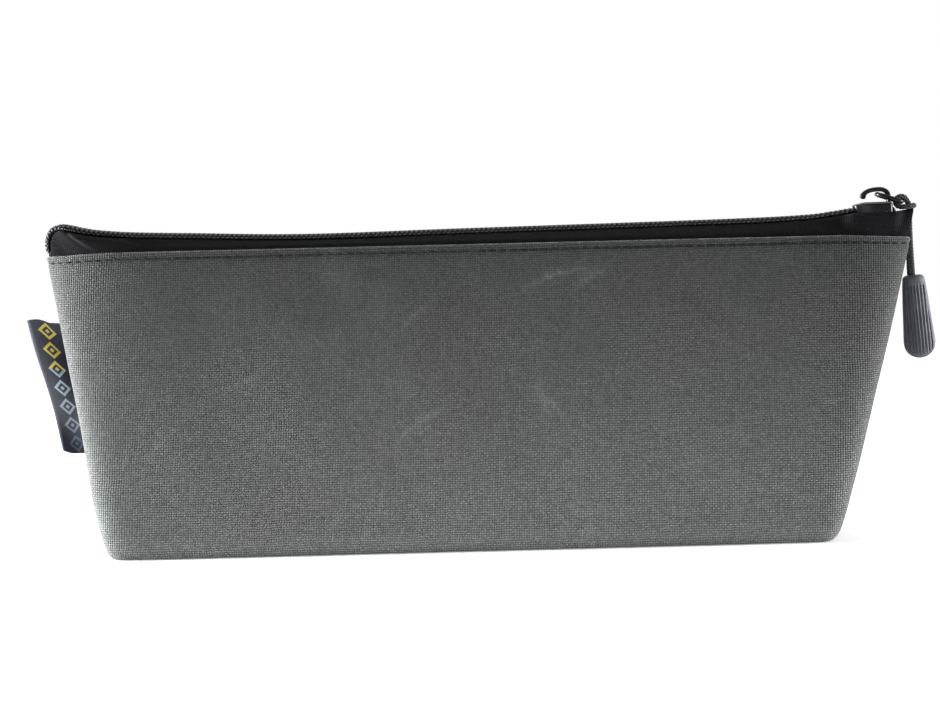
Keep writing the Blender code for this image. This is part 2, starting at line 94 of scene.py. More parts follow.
# Zip, close to the frame's: the chain's top line, as x and z in millimetres
CHAIN_TOP = (
    (-111.3, 79.7), (-111.7, 81.6), (-111.6, 84.0), (-110.2, 86.7), (-107.3, 87.9), (-104.2, 87.5),
    (-101.2, 86.75), (-97.0, 86.0), (-88.0, 85.15), (-72.0, 84.4), (-42.0, 83.2), (0.0, 83.3),
    (60.0, 83.4), (88.0, 83.7), (97.0, 84.4), (103.0, 85.1), (112.0, 85.1), (117.6, 85.8),
)
COIL_WIDTH = 2.9 * MM
COIL_THICKNESS = 1.5 * MM
COIL_END = 112.4 * MM
MESH_GAP = 0.15 * MM
TAPE_THICKNESS = 0.5 * MM
TAPE_DEPTH = 1.58 * MM
TAPE_SEWN = 6.0 * MM
TAPE_BESIDE = 0.4 * MM
TAPE_CLOSES = (111.0 * MM, 113.0 * MM)  # where the two tapes meet again, past the slider
TAPE_END_CLEAR = 0.7 * MM
TAPE_DROP = 0.1 * MM
NARROWINGS = (  # at each end: x at the seam, x where the coil has its full width, its share at the seam
    (-111.75 * MM, -105.0 * MM, 0.45),
    (115.2 * MM, 112.8 * MM, 0.2),
)
HIDDEN_SHARE = 0.985  # of the half girth: how far the tape's ends reach
# How far the coil tips outwards: x in millimetres, and degrees
COIL_LEAN = ((-111.6, 14.0), (-104.0, 12.0), (-88.0, 9.0), (80.0, 7.0), (97.0, 0.0), (118.0, 0.0))
SLIDER_X = 107.2 * MM
SLIDER_TRAVEL = 204.0 * MM
SLIDER_WIDENING = 1.25 * MM
SLOT_HALF_WIDTH = 5.7 * MM
SLOT_FADE = (5.4 * MM, 8.4 * MM)  # distances from the slider's middle
SPREAD_START = 4.0 * MM
POST = (109.7 * MM, 2.4 * MM, 1.8 * MM)  # its middle, length and width

# Slider
SLIDER_NOSE, SLIDER_TAIL = 102.3 * MM, 112.1 * MM
SLIDER_ROUNDED = (0.12, 0.10)  # shares of its length over which its nose and its tail are rounded
SLIDER_HALF_WIDTHS = (3.7 * MM, 5.0 * MM)
SLIDER_TOPS = (85.95 * MM, 86.45 * MM)
SLIDER_ROOF = 85.4 * MM
SLIDER_SKIRT = 83.8 * MM
SLIDER_WALL = 0.55 * MM
LOWER_PLATE_ENDS = (102.4 * MM, 111.1 * MM)
LOWER_PLATE_HALF_WIDTHS = (2.9 * MM, 3.9 * MM)
LOWER_PLATE_MIDDLE = 82.1 * MM
LOWER_PLATE_HALF_THICKNESS = 0.5 * MM
POST_HEIGHTS = (82.3 * MM, 85.7 * MM)

# Coil turns
COIL_PITCH = 1.27 * MM
COIL_WIRE = 0.3 * MM
COIL_WIRE_WIDTH = 0.52 * MM
COIL_HEAD = 0.42 * MM  # how far a turn's head reaches past the middle
COIL_CORE = 0.52 * MM
POINTS_PER_TURN = 14
TIE_THREADS = (0.12 * MM, 0.14 * MM)  # radii of the row over the coil and the row along its edge

# Slider and pull, close to the frame's; paths in millimetres
CROWN_PATH = (
    (104.85, 87.25), (105.05, 88.4), (106.2, 89.3), (108.2, 89.7),
    (110.0, 89.6), (111.2, 88.8), (111.55, 87.6), (111.55, 86.4),
)
CROWN_HALF_THICKNESS = 0.60 * MM
CROWN_BULB = (0.32 * MM, 1.15 * MM)  # how much thicker its free end is, and over what length
CROWN_HALF_WIDTHS = (0.95 * MM, 1.25 * MM)
RING_WIRE = 0.64 * MM
RING_PIVOT = Vector((108.6, 0.0, 88.38)) * MM
RING_BAR = Vector((114.8, 0.0, 86.3)) * MM
RING_HALF_WIDTH = 2.1 * MM
RING_ROUNDNESS = 0.5
CORD_WRAP = 1.36 * MM
WRAP_TURNS = (55, 90, 135, 180, 225, 270)
CORD_RISE = (  # from the grip up to the ring's bar
    (117.85, 3.5, 64.6), (117.75, 3.25, 67.2), (117.5, 3.0, 72.0), (117.3, 2.7, 76.5),
    (117.15, 2.0, 81.0), (117.15, 0.7, 83.7), (116.95, -0.2, 85.2), (116.25, -0.55, 86.55),
)
CORD_BIGHT = (  # round the outside of both strands, between its two turns on the bar
    (115.9, -1.5, 84.95), (117.1, -1.45, 85.0), (117.9, -0.75, 85.15), (118.1, 0.25, 85.2),
    (117.9, 1.25, 85.15), (117.1, 1.95, 85.0), (115.9, 2.0, 84.95),
)
CORD_FALL = (  # and back down
    (116.25, 1.05, 86.55), (116.95, 0.95, 85.2), (117.2, 1.9, 83.6), (117.0, 3.6, 81.0),
    (116.9, 4.3, 76.5), (116.95, 4.5, 72.0), (117.05, 4.55, 67.2), (117.3, 4.3, 64.6),
)
CORD_CORE = 0.42 * MM
BRAID_STRANDS = 4  # each way
BRAID_LAY = 3.4 * MM
BRAID_RADII = (0.47 * MM, 0.07 * MM, 0.19 * MM)  # of the strands' middles, their weave in and out, a strand
HITCH_SIDES = ((-0.7, -1.4), (1.2, 1.9))  # where each turn sits along the bar, top and bottom
GRIP_TOP = Vector((117.9, 3.9, 66.9)) * MM
GRIP_BOTTOM = Vector((119.5, 3.9, 45.0)) * MM
GRIP_HALF_WIDTHS = ((0, 0.12, 0.33, 0.55, 0.78, 0.9, 1.0), (2.75, 3.1, 3.45, 3.75, 4.1, 4.2, 4.2))
GRIP_HALF_DEPTHS = ((0, 0.2, 0.7, 1.0), (2.2, 2.5, 2.8, 2.8))  # shares down the grip, and millimetres
RIB_PITCH = 0.85 * MM
RIB_BORDER = (0.55 * MM, 0.95 * MM)  # how far from the grip's edge the ribs start, and reach their depth
RIB_DEPTHS = (0.06 * MM, 0.42 * MM)  # how far a rib's top and a groove's bottom lie below the border

# Label and bindings, close to the frame's
LABEL_TOP = 61.2 * MM
LABEL_BOTTOM = 26.0 * MM
LABEL_WIDTHS = (9.2 * MM, 8.0 * MM)
LABEL_THICKNESS = 0.9 * MM
LABEL_WAVE = (0.9 * MM, 1.1)  # how far its fold strays, and how many waves
LABEL_LIFT = 1.2 * MM
LABEL_HIDDEN = 1.2 * MM  # how far it reaches into the seam
BINDING_WIDTH = 6.8 * MM
BINDING_THICKNESS = 1.4 * MM
SEAM_BINDING_HEIGHTS = (5.0 * MM, 71.0 * MM)
SEAM_BINDING_INSET = 2.2 * MM
CORNER_BINDING_HALF_LENGTH = 17.0 * MM
CORNER_BINDING_INSET = 2.6 * MM

# Camera
CAMERA_AT = Vector((35.74, -647.43, 85.34)) * MM
CAMERA_AIM = Vector((0.58, 0.67, 50.2)) * MM
CAMERA_ROLL = 1.92
CAMERA_LENS = 93.9

# Light: how bright the surroundings are behind the camera and behind the pouch, the floor and the lamps
STUDIO_SKY = (0.10, 1.0)
FLOOR_RADIUS = 2.1
FLOOR_AT = (0, -1.2, -0.1 * MM)
LAMPS = (  # name, place, what it points at, width, height, watts
    ("left_key", (-0.9, -0.01, 0.10), (-0.05, 0, 0.06), 0.2, 0.2, 68.0),
    ("right_fill", (0.9, -0.06, 0.10), (0.05, 0, 0.06), 0.2, 0.2, 20.0),
    ("floor_glow", (-0.01, -0.13, 0.006), (-0.01, 0, 0.006), 0.26, 0.010, 0.115),
    ("top", (0.0, 0.7, 1.3), (0, -0.1, 0), 1.0, 1.0, 11.0),
)


# ---------------- numbers

def mix(low, high, share):
    return low + (high - low) * share


def ease(value, start, end):
    """0 at start, 1 at end, smooth between and level beyond; start may be above end."""
    t = np.clip((np.asarray(value, float) - start) / (end - start), 0.0, 1.0)
    return t * t * (3 - 2 * t)


def unit(vectors):
    return vectors / np.maximum(np.linalg.norm(vectors, axis=-1, keepdims=True), 1e-12)


def signed_power(values, power):
    return np.sign(values) * np.abs(values) ** power


def bell(value, width):
    return np.exp(-((value / width) ** 2))


def quarter(share):
    """Height of a quarter circle, from 0 at share 0 to 1 from share 1 on."""
    return np.sqrt(1 - (1 - np.clip(share, 0.0, 1.0)) ** 2)


def distances(points):
    """How far along a line of points each one lies."""
    return np.concatenate([[0], np.cumsum(np.linalg.norm(np.diff(points, axis=0), axis=1))])


def joined(*parts):
    """Coordinates side by side: the last axis counts them."""
    return np.stack(np.broadcast_arrays(*parts), axis=-1)


def along_line(places, along, line):
    """Points at some distances along a line whose points lie at others."""
    return joined(*(np.interp(places, along, line[:, k]) for k in range(line.shape[1])))


def carried_frame(tangent, start):
    """Two directions across a line, carried along it without twisting."""
    normal = np.zeros_like(tangent)
    normal[0] = unit(start)
    for i in range(1, len(tangent)):
        normal[i] = unit(normal[i - 1] - tangent[i] * np.dot(normal[i - 1], tangent[i]))
    return normal, np.cross(tangent, normal)


def full_turn(count):
    return np.linspace(0, 2 * math.pi, count, endpoint=False)


def through(points, spacing):
    """Evenly spaced points of a smooth curve through the given ones (Catmull-Rom)."""
    knots = np.array(points, float)
    knots = np.vstack([2 * knots[0] - knots[1], knots, 2 * knots[-1] - knots[-2]])
    fine = []
    for before, start, end, after in zip(knots, knots[1:], knots[2:], knots[3:]):
        for t in np.linspace(0, 1, 24, endpoint=False):
            line = 2 * start + (end - before) * t
            bend = (2 * before - 5 * start + 4 * end - after) * t**2
            twist = (3 * start - before - 3 * end + after) * t**3
            fine.append(0.5 * (line + bend + twist))
    fine = np.array(fine + [knots[-2]])
    along = distances(fine)
    count = max(2, round(along[-1] / spacing) + 1)
    even = np.linspace(0, along[-1], count)
    return along_line(even, along, fine)


# ---------------- meshes

class Shape:
    """Vertices, faces and their UVs (metres of cloth), gathered before they become a mesh."""

    def __init__(self):
        self.verts = []
        self.faces = []
        self.uvs = []
        self.marks = []
        self.count = 0

    def add(self, verts, faces, uvs=None, mark=0.0):
        verts = np.asarray(verts, float).reshape(-1, 3)
        self.verts.append(verts)
        self.faces += [[self.count + i for i in face] for face in faces]
        self.uvs.append(np.zeros((len(verts), 2)) if uvs is None else np.asarray(uvs, float).reshape(-1, 2))
        self.marks.append(np.broadcast_to(np.asarray(mark, float).ravel(), (len(verts),)))
        self.count += len(verts)
        return self

    def grid(self, points, uvs=None, wrap=False, capped=False, mark=0.0):
        """A rows x columns grid; wrap joins its last row to its first, capped fills its two column ends."""
        rows, columns = points.shape[:2]
        r = np.arange(rows if wrap else rows - 1)[:, None]
        c = np.arange(columns - 1)[None, :]
        n = (r + 1) % rows
        low, high = r * columns + c, n * columns + c
        faces = np.stack([low, low + 1, high + 1, high], axis=-1).reshape(-1, 4).tolist()
        if capped:
            faces.append([i * columns for i in range(rows)])
            faces.append([i * columns + columns - 1 for i in reversed(range(rows))])
        return self.add(points, faces, uvs, mark)

    def loft(self, sections):
        """A skin over one closed section after another, filled at both ends."""
        rows = np.array(sections).transpose(1, 0, 2)
        return self.grid(rows, wrap=True, capped=True)

    def tube(self, points, radius, sides=8, closed=False, squeeze=None):
        """A round tube along points; radius may vary along it.

        squeeze is (directions, share): the tube is flatter that way.
        """
        points = np.asarray(points, float)
        if closed:
            tangent = unit(np.roll(points, -1, axis=0) - np.roll(points, 1, axis=0))
        else:
            tangent = unit(np.gradient(points, axis=0))
        first = np.cross(tangent[0], (0.0, 0.0, 1.0))
        if np.linalg.norm(first) < 0.1:
            first = np.cross(tangent[0], (0.0, 1.0, 0.0))
        normal, other = carried_frame(tangent, first)
        turn = full_turn(sides)
        radii = np.broadcast_to(radius, (len(points),))[:, None, None]
        cosine, sine = np.cos(turn)[None, :, None], np.sin(turn)[None, :, None]
        ring = cosine * normal[:, None, :] + sine * other[:, None, :]
        if squeeze is not None:
            way, share = squeeze
            way = unit(np.asarray(way, float)).reshape(-1, 1, 3)
            ring = ring - way * (ring * way).sum(axis=-1, keepdims=True) * (1 - share)
        verts = points[:, None, :] + ring * radii
        uvs = joined(distances(points)[:, None], turn[None, :] * np.mean(radius))
        count = len(points)
        faces = round_faces(count, sides, closed)
        if not closed:
            faces.append(list(range(sides))[::-1])
            faces.append([(count - 1) * sides + k for k in range(sides)])
        return self.add(verts, faces, uvs)

    def build(self, name, surface, smooth_angle):
        mesh = bpy.data.meshes.new(name)
        verts = np.vstack(self.verts)
        mesh.from_pydata(verts.tolist(), [], self.faces)
        corner = np.zeros(len(mesh.loops), np.int32)
        mesh.loops.foreach_get("vertex_index", corner)
        layer = mesh.uv_layers.new(name="cloth")
        layer.data.foreach_set("uv", np.vstack(self.uvs)[corner].astype(np.float32).ravel())
        # the wear attribute holds each vertex's pale marks: real wear, and on the walls also the painted
        # highlight along the hem's rim
        marks = mesh.attributes.new("wear", "FLOAT", "POINT")
        marks.data.foreach_set("value", np.concatenate(self.marks).astype(np.float32))
        bm = bmesh.new()
        bm.from_mesh(mesh)
        bmesh.ops.recalc_face_normals(bm, faces=bm.faces)
        bm.to_mesh(mesh)
        bm.free()
        mesh.shade_smooth()
        mesh.set_sharp_from_angle(angle=math.radians(smooth_angle))
        mesh.materials.append(surface)
        return place_in_scene(name, mesh)


def round_faces(rows, columns, closed=False):
    """Faces between rows that run all the way round; closed joins the last row to the first."""
    faces = []
    for i in range(rows if closed else rows - 1):
        j = (i + 1) % rows
        for k in range(columns):
            m = (k + 1) % columns
            faces.append([i * columns + k, i * columns + m, j * columns + m, j * columns + k])
    return faces


def place_in_scene(name, data):
    made = bpy.data.objects.new(name, data)
    bpy.context.scene.collection.objects.link(made)
    return made


def thickened(points, thickness):
    """A closed loop of rows round a grid of middle points: one face, then the other back again."""
    across = np.gradient(points, axis=0)
    along = np.gradient(points, axis=1)
    out = unit(np.cross(along, across)) * thickness / 2
    edge_low = points[:1] - unit(across[:1]) * thickness * 0.4
    edge_high = points[-1:] + unit(across[-1:]) * thickness * 0.4
    return np.concatenate([points + out, edge_high, (points - out)[::-1], edge_low])


def sheet_piece(name, points, uvs, thickness, surface, smooth_angle=60.0):
    """A piece of cloth: a closed skin round a grid of middle points."""
    doubled = np.concatenate([uvs, uvs[-1:], uvs[::-1], uvs[:1]])
    shape = Shape().grid(thickened(points, thickness), doubled, wrap=True, capped=True)
    return shape.build(name, surface, smooth_angle)


# ---------------- materials

class Nodes:
    """Short ways to build the node tree of a new material, or of a new world."""

    def __init__(self, name, library=bpy.data.materials, shader="Principled BSDF"):
        self.owner = library.new(name)
        self.owner.use_nodes = True
        self.tree = self.owner.node_tree
        self.shader = self.tree.nodes[shader]

    def link(self, source, target):
        self.tree.links.new(source, target)

    def put(self, socket, value):
        if isinstance(value, bpy.types.NodeSocket):
            self.link(value, socket)
        elif isinstance(value, (tuple, list)) and len(value) == 3 and socket.type == "RGBA":
            socket.default_value = (*value, 1.0)
        else:
            socket.default_value = value

    def add(self, kind, inputs=(), output=0, **settings):
        """One output of a new node; its inputs are a list, or go by name or number."""
        node = self.tree.nodes.new(f"ShaderNode{kind}")
        for name, value in settings.items():
            setattr(node, name, value)
        for key, value in inputs.items() if isinstance(inputs, dict) else enumerate(inputs):
            self.put(node.inputs[key], value)
        return node.outputs[output]

    def math(self, operation, *values, clamp=False):
        return self.add("Math", values, operation=operation, use_clamp=clamp)

    def times(self, first, second):
        return self.math("MULTIPLY", first, second)

    def either(self, share, first, second):
        """first where share is 1, and second where it is 0."""
        chosen = self.times(share, first)
        return self.math("ADD", chosen, self.times(self.math("SUBTRACT", 1.0, share), second))

    def split(self, vector):
        """The x, y and z of a vector."""
        return self.add("SeparateXYZ", [vector]).node.outputs

    def uv(self):
        return self.split(self.add("UVMap", uv_map="cloth"))[:2]

    def vector(self, x, y=0.0, z=0.0):
        return self.add("CombineXYZ", (x, y, z))

    def place(self):
        """Object coordinates, which are the frame's metres."""
        return self.add("TexCoord", output="Object")

    def noise(self, vector, scale, detail=2.0, roughness=0.5):
        inputs = {"Vector": vector, "Scale": scale, "Detail": detail, "Roughness": roughness}
        return self.add("TexNoise", inputs, "Fac")

    def span(self, value, low, high, to_low=0.0, to_high=1.0):
        return self.add("MapRange", (value, low, high, to_low, to_high))

    def blend(self, share, first, second):
        return self.add("Mix", {0: share, 6: first, 7: second}, 2, data_type="RGBA")

    def scaled(self, colour, factor):
        """A colour times a number, either of which may be a socket."""
        return self.add("VectorMath", {0: colour, "Scale": factor}, operation="SCALE")

    def bump(self, height, distance, strength):
        bumped = self.add("Bump", {"Strength": strength, "Distance": distance, "Height": height})
        self.link(bumped, self.shader.inputs["Normal"])

    def finish(self, colour, roughness, **others):
        self.put(self.shader.inputs["Base Color"], colour)
        self.put(self.shader.inputs["Roughness"], roughness)
        for name, value in others.items():
            self.put(self.shader.inputs[name.replace("_", " ")], value)
        return self.owner


def weave(n, u, v, warp_pitch, weft_pitch):
    """Plain weave: its height from 0 to 1, each thread's number, and 1 where the warp is on top."""
    warp = n.math("DIVIDE", u, warp_pitch)
    weft = n.math("DIVIDE", v, weft_pitch)
    warp_index = n.math("FLOOR", warp)
    weft_index = n.math("FLOOR", weft)

    def hump(position):
        centred = n.math("MULTIPLY_ADD", n.math("FRACT", position), 2.0, -1.0)
        return n.math("SUBTRACT", 1.0, n.times(centred, centred))

    across_warp, across_weft = hump(warp), hump(weft)
    over = n.math("MODULO", n.math("ABSOLUTE", n.math("ADD", warp_index, weft_index)), 2.0)
    warp_top = n.times(across_warp, n.math("MULTIPLY_ADD", across_weft, 0.5, 0.5))
    weft_top = n.times(across_weft, n.math("MULTIPLY_ADD", across_warp, 0.5, 0.5))
    return n.either(over, warp_top, weft_top), warp_index, weft_index, over


CANVAS_TINTS = ((0.077, 0.0785, 0.0775), (0.072, 0.0785, 0.0765))
# the pale colour of rubbed creases and seams, and of the painted highlight along the hem's rim
CANVAS_RUBBED_AND_HIGHLIT = (0.42, 0.44, 0.44)
CANVAS_THREADS = (0.64 * MM, 0.60 * MM)
CANVAS_PAINTED_SHADE_BY_HEIGHT = (10 * MM, 78 * MM, 1.06, 0.36)  # between two heights: how pale the cloth is at each; painted shade, the cloth darker towards the top, where the face gets less light
CANVAS_RELIEF = 0.20 * MM
CANVAS_DRIFT = 0.9 * MM  # how far its threads wander


def canvas_material():
    """Waxed grey plain weave with uneven threads, cloudy patches of tone, pale rubbed creases, a painted
    highlight along the hem's rim and painted shade that darkens it towards the top.
    """
    n = Nodes("waxed_canvas")
    u, v = n.uv()
    place = n.place()
    u_bent = n.math("MULTIPLY_ADD", n.noise(place, 90.0), CANVAS_DRIFT, u)
    v_bent = n.math("MULTIPLY_ADD", n.noise(place, 70.0), CANVAS_DRIFT, v)
    height, warp, weft, over = weave(n, u_bent, v_bent, *CANVAS_THREADS)
    slub_warp = n.noise(n.vector(n.times(warp, 3.7), n.times(v, 90.0)), 1.0)
    slub_weft = n.noise(n.vector(n.times(u, 90.0), n.times(weft, 3.7)), 1.0)
    slub = n.either(over, slub_warp, slub_weft)
    cell = n.add("TexWhiteNoise", {"Vector": n.vector(warp, weft)}, "Value", noise_dimensions="2D")
    cloud = n.noise(place, 16.0, 3.0, 0.55)
    patch = n.noise(place, 60.0, 3.0, 0.6)
    tone = n.span(height, 0.0, 1.0, 0.18, 1.48)
    for source, *spans in (
        (slub, 0.25, 0.75, 0.87, 1.13),
        (over, 0.0, 1.0, 1.12, 0.88),
        (cell, 0.0, 1.0, 0.80, 1.20),
        (cloud, 0.3, 0.7, 0.93, 1.07),
        (patch, 0.3, 0.7, 0.95, 1.05),
        # painted shade: darker towards the top of the walls
        (n.split(place)[2], *CANVAS_PAINTED_SHADE_BY_HEIGHT),
    ):
        tone = n.times(tone, n.span(source, *spans))
    tint = n.blend(n.span(n.noise(place, 25.0), 0.35, 0.65), *CANVAS_TINTS)
    # pale marks: rubbed creases, foot and seams, and the painted highlight along the hem's rim, with a little
    # dust
    rubbed = n.add("Attribute", output="Fac", attribute_name="wear")
    dust = n.span(n.noise(place, 45.0), 0.62, 0.78)
    broken = n.span(n.noise(place, 900.0), 0.35, 0.65, 0.3, 1.0)
    worn = n.math("MULTIPLY_ADD", rubbed, 0.5, n.times(dust, 0.05))
    pale = n.math("MULTIPLY", worn, broken, clamp=True)
    colour = n.blend(pale, n.scaled(tint, tone), CANVAS_RUBBED_AND_HIGHLIT)
    n.bump(n.math("ADD", height, n.times(slub, 0.4)), CANVAS_RELIEF, 0.95)
    rough = n.span(patch, 0.3, 0.7, 0.66, 0.8)
    return n.finish(colour, rough, Specular_IOR_Level=0.12, Sheen_Weight=0.02, Sheen_Roughness=0.5)


def woven_material(name, colour, warp_pitch, weft_pitch, depth, roughness):
    """A plain woven tape or ribbon."""
    n = Nodes(name)
    u, v = n.uv()
    height = weave(n, u, v, warp_pitch, weft_pitch)[0]
    fuzz = n.noise(n.place(), 900.0, 3.0, 0.7)
    tone = n.times(n.span(height, 0.0, 1.0, 0.5, 1.5), n.span(fuzz, 0.3, 0.7, 0.8, 1.25))
    n.bump(n.math("ADD", height, n.times(fuzz, 0.3)), depth, 0.9)
    return n.finish(n.scaled(colour, tone), roughness, Specular_IOR_Level=0.05, Sheen_Weight=0.01)


def plastic_material(name, colour, roughness, grain=0.02 * MM, **others):
    """Moulded or drawn plastic: fine grain and slightly uneven gloss."""
    n = Nodes(name)
    place = n.place()
    grainy = n.noise(place, 1500.0, 3.0, 0.6)
    n.bump(grainy, grain, 0.5)
    tone = n.span(n.noise(place, 300.0), 0.3, 0.7, 0.85, 1.15)
    rough = n.span(grainy, 0.3, 0.7, roughness - 0.06, roughness + 0.08)
    return n.finish(n.scaled(colour, tone), rough, **others)


def enamel_material():
    """Black coated zinc: worn a little paler where it is handled."""
    n = Nodes("black_enamel")
    place = n.place()
    wear = n.span(n.noise(place, 700.0, 4.0, 0.65), 0.55, 0.75)
    colour = n.blend(n.times(wear, 0.3), (0.005, 0.005, 0.006), (0.03, 0.03, 0.029))
    n.bump(n.noise(place, 1200.0), 0.004 * MM, 0.4)
    rough = n.span(n.noise(place, 500.0), 0.3, 0.7, 0.28, 0.46)
    return n.finish(colour, rough, Specular_IOR_Level=0.17)


def label_material():
    """Navy woven ribbon with a row of hollow diamonds, the upper ones yellow."""
    n = Nodes("woven_label")
    u, v = n.uv()
    height = weave(n, u, v, 0.28 * MM, 0.22 * MM)[0]
    across = n.math("DIVIDE", u, 1.0 * MM)
    along = n.math("DIVIDE", v, 1.0 * MM)
    cell = n.math("SUBTRACT", n.math("FRACT", n.math("DIVIDE", along, 5.0)), 0.5)
    reach = n.math("ADD", n.math("ABSOLUTE", n.times(cell, 5.0)),
                   n.math("ABSOLUTE", n.math("SUBTRACT", across, 5.2)))
    diamond = n.math("SUBTRACT", n.math("LESS_THAN", reach, 2.25), n.math("LESS_THAN", reach, 1.4))
    core = n.math("LESS_THAN", reach, 0.6)
    marked = n.math("MAXIMUM", diamond, core)
    upper = n.math("GREATER_THAN", along, 22.5)
    dimmed = n.blend(n.span(along, 3.0, 20.0), (0.045, 0.055, 0.085), (0.22, 0.26, 0.30))
    thread = n.blend(upper, dimmed, (0.40, 0.32, 0.06))
    uneven = n.span(n.noise(n.place(), 300.0), 0.3, 0.7)
    ground = n.blend(uneven, (0.010, 0.013, 0.020), (0.016, 0.020, 0.030))
    colour = n.blend(marked, ground, thread)
    tone = n.span(height, 0.0, 1.0, 0.6, 1.15)
    n.bump(n.math("ADD", height, n.times(marked, 0.6)), 0.07 * MM, 0.8)
    return n.finish(n.scaled(colour, tone), 0.8, Specular_IOR_Level=0.2, Sheen_Weight=0.03)


def braid_material():
    """Dark grey polyester braid: fine filaments along each strand."""
    n = Nodes("braided_cord")
    u, v = n.uv()
    fibre = n.noise(n.vector(n.times(u, 600.0), n.times(v, 14000.0)), 1.0)
    tone = n.span(fibre, 0.25, 0.75, 0.6, 1.4)
    n.bump(fibre, 0.03 * MM, 0.8)
    return n.finish(n.scaled((0.034, 0.034, 0.036), tone), 0.75, Specular_IOR_Level=0.15, Sheen_Weight=0.05)


CANVAS_CLOTH = canvas_material()
TAPE_CLOTH = woven_material("zip_tape", (0.0040, 0.0040, 0.0046), 0.62 * MM, 0.46 * MM, 0.16 * MM, 0.95)
BINDING_CLOTH = woven_material("binding_tape", (0.016, 0.016, 0.018), 0.5 * MM, 1.0 * MM, 0.12 * MM, 0.85)
THREAD_PLY = 0.12 * MM
THREAD = woven_material("sewing_thread", (0.009, 0.0095, 0.010), THREAD_PLY, THREAD_PLY, 0.03 * MM, 0.6)
# light grey tie thread: real thread, made pale so that its dots along the coil's edge also stand in for the
# coil's glints, painted glints
TIE_THREAD_AND_PAINTED_GLINTS = woven_material("tie_thread_and_painted_glints", (0.085, 0.087, 0.09), THREAD_PLY, THREAD_PLY, 0.03 * MM, 0.45)
NYLON = plastic_material("coil_nylon", (0.0055, 0.0055, 0.0065), 0.48, Specular_IOR_Level=0.14)
RUBBER = plastic_material(
    "grip_rubber", (0.053, 0.058, 0.067), 0.62, grain=0.012 * MM, Specular_IOR_Level=0.25
)
ENAMEL = enamel_material()
LABEL_CLOTH = label_material()
BRAID = braid_material()


# ---------------- walls

def outline(up):
    """Quarter outline at height share up, from the middle of the face to the side seam."""
    length = mix(BASE_HALF_LENGTH, MOUTH_HALF_LENGTH, up)
    depth = mix(BASE_HALF_DEPTH, MOUTH_HALF_DEPTH, up)
    end_power = mix(BASE_POWERS[0], MOUTH_POWERS[0], up)
    side_power = mix(BASE_POWERS[1], MOUTH_POWERS[1], up)
    x_face = np.linspace(0, 0.5 ** (1 / end_power), 500)
    y_face = (1 - x_face**end_power) ** (1 / side_power)
    y_end = np.linspace(0.5 ** (1 / side_power), SEAM_HALF_GAP / depth, 500)[1:]
    x_end = (1 - y_end**side_power) ** (1 / end_power)
    x = np.concatenate([x_face, x_end]) * length
    y = np.concatenate([y_face, y_end]) * depth
    along = np.concatenate([[0], np.cumsum(np.hypot(np.diff(x), np.diff(y)))])
    return x, y, along


def wall_row(shares, up, side, inset=0.0, lift=0.0):
    """Points at shares -1 to 1 of the half girth, their outward normals and their distances along the row."""
    x, y, along = outline(up)
    run, drop = np.gradient(x), np.gradient(y)
    length = np.hypot(run, drop)
    out_x, out_y = -drop / length, run / length
    at = np.abs(shares) * along[-1]
    sign = np.where(shares < 0, -1.0, 1.0)
    nx, ny = np.interp(at, along, out_x), np.interp(at, along, out_y)
    draw, reach = FOOT_ROUNDING
    inset = inset + draw * max(0.0, 1 - up * WALL_HEIGHT / reach) ** 2 * nx**2
    px, py = np.interp(at, along, x) - nx * inset, np.interp(at, along, y) - ny * inset
    tuck = ease(at, along[-1] - SEAM_TUCK_WIDTH, along[-1]) * (1 - 0.8 * up**4)
    bulge = RIGHT_BULGE * math.sin(math.pi * up) * (shares > 0) * ease(at, 0.8 * along[-1], along[-1])
    px = px - SEAM_TUCK * tuck**2 + bulge
    py = np.maximum(py * (1 - 0.2 * tuck), SEAM_HALF_GAP)
    dip = HEM_DIP * ease(np.abs(shares), 0.8, 1.0) * up**4
    z = np.broadcast_to(up * (WALL_HEIGHT - WALL_TILT * shares) + lift - dip, px.shape)
    points = joined(sign * px + mix(BASE_SHIFT, MOUTH_SHIFT, up), side * py, z)
    return points, joined(sign * nx, side * ny, 0.0), sign * at


def wall_shares(end):
    """Column places for one end's piece, closer together at the seam."""
    shares = np.concatenate([np.linspace(0, 0.965, 165), np.linspace(0.968, 1.0, 14)])
    return shares if end == RIGHT else -shares[::-1]


def wall_profile():
    """(up, inset, lift) of each row: from the fold up the outside, over the hem and down the inside."""
    half = HEM_THICKNESS / 2
    top = 1.0 - half / WALL_HEIGHT
    hem_end = 1.0 - HEM_DEPTH / WALL_HEIGHT
    step = 0.5 * MM / WALL_HEIGHT
    outside = [(up, 0.0, 0.0) for up in np.linspace(WALL_START, top, 74)]
    turns = np.radians((25, 50, 75, 105, 130, 155))
    over = [(top, half * (1 - math.cos(turn)), half * math.sin(turn)) for turn in turns]
    hem = [(up, HEM_THICKNESS, 0.0) for up in np.linspace(top, hem_end, 7)]
    hem.append((hem_end - step, HEM_THICKNESS - 0.2 * MM, 0.0))
    inside = [(up, CANVAS, 0.0) for up in np.linspace(hem_end - 2 * step, WALL_START, 26)]
    return outside + over + hem + inside


CREASE_PALENESS = 0.34
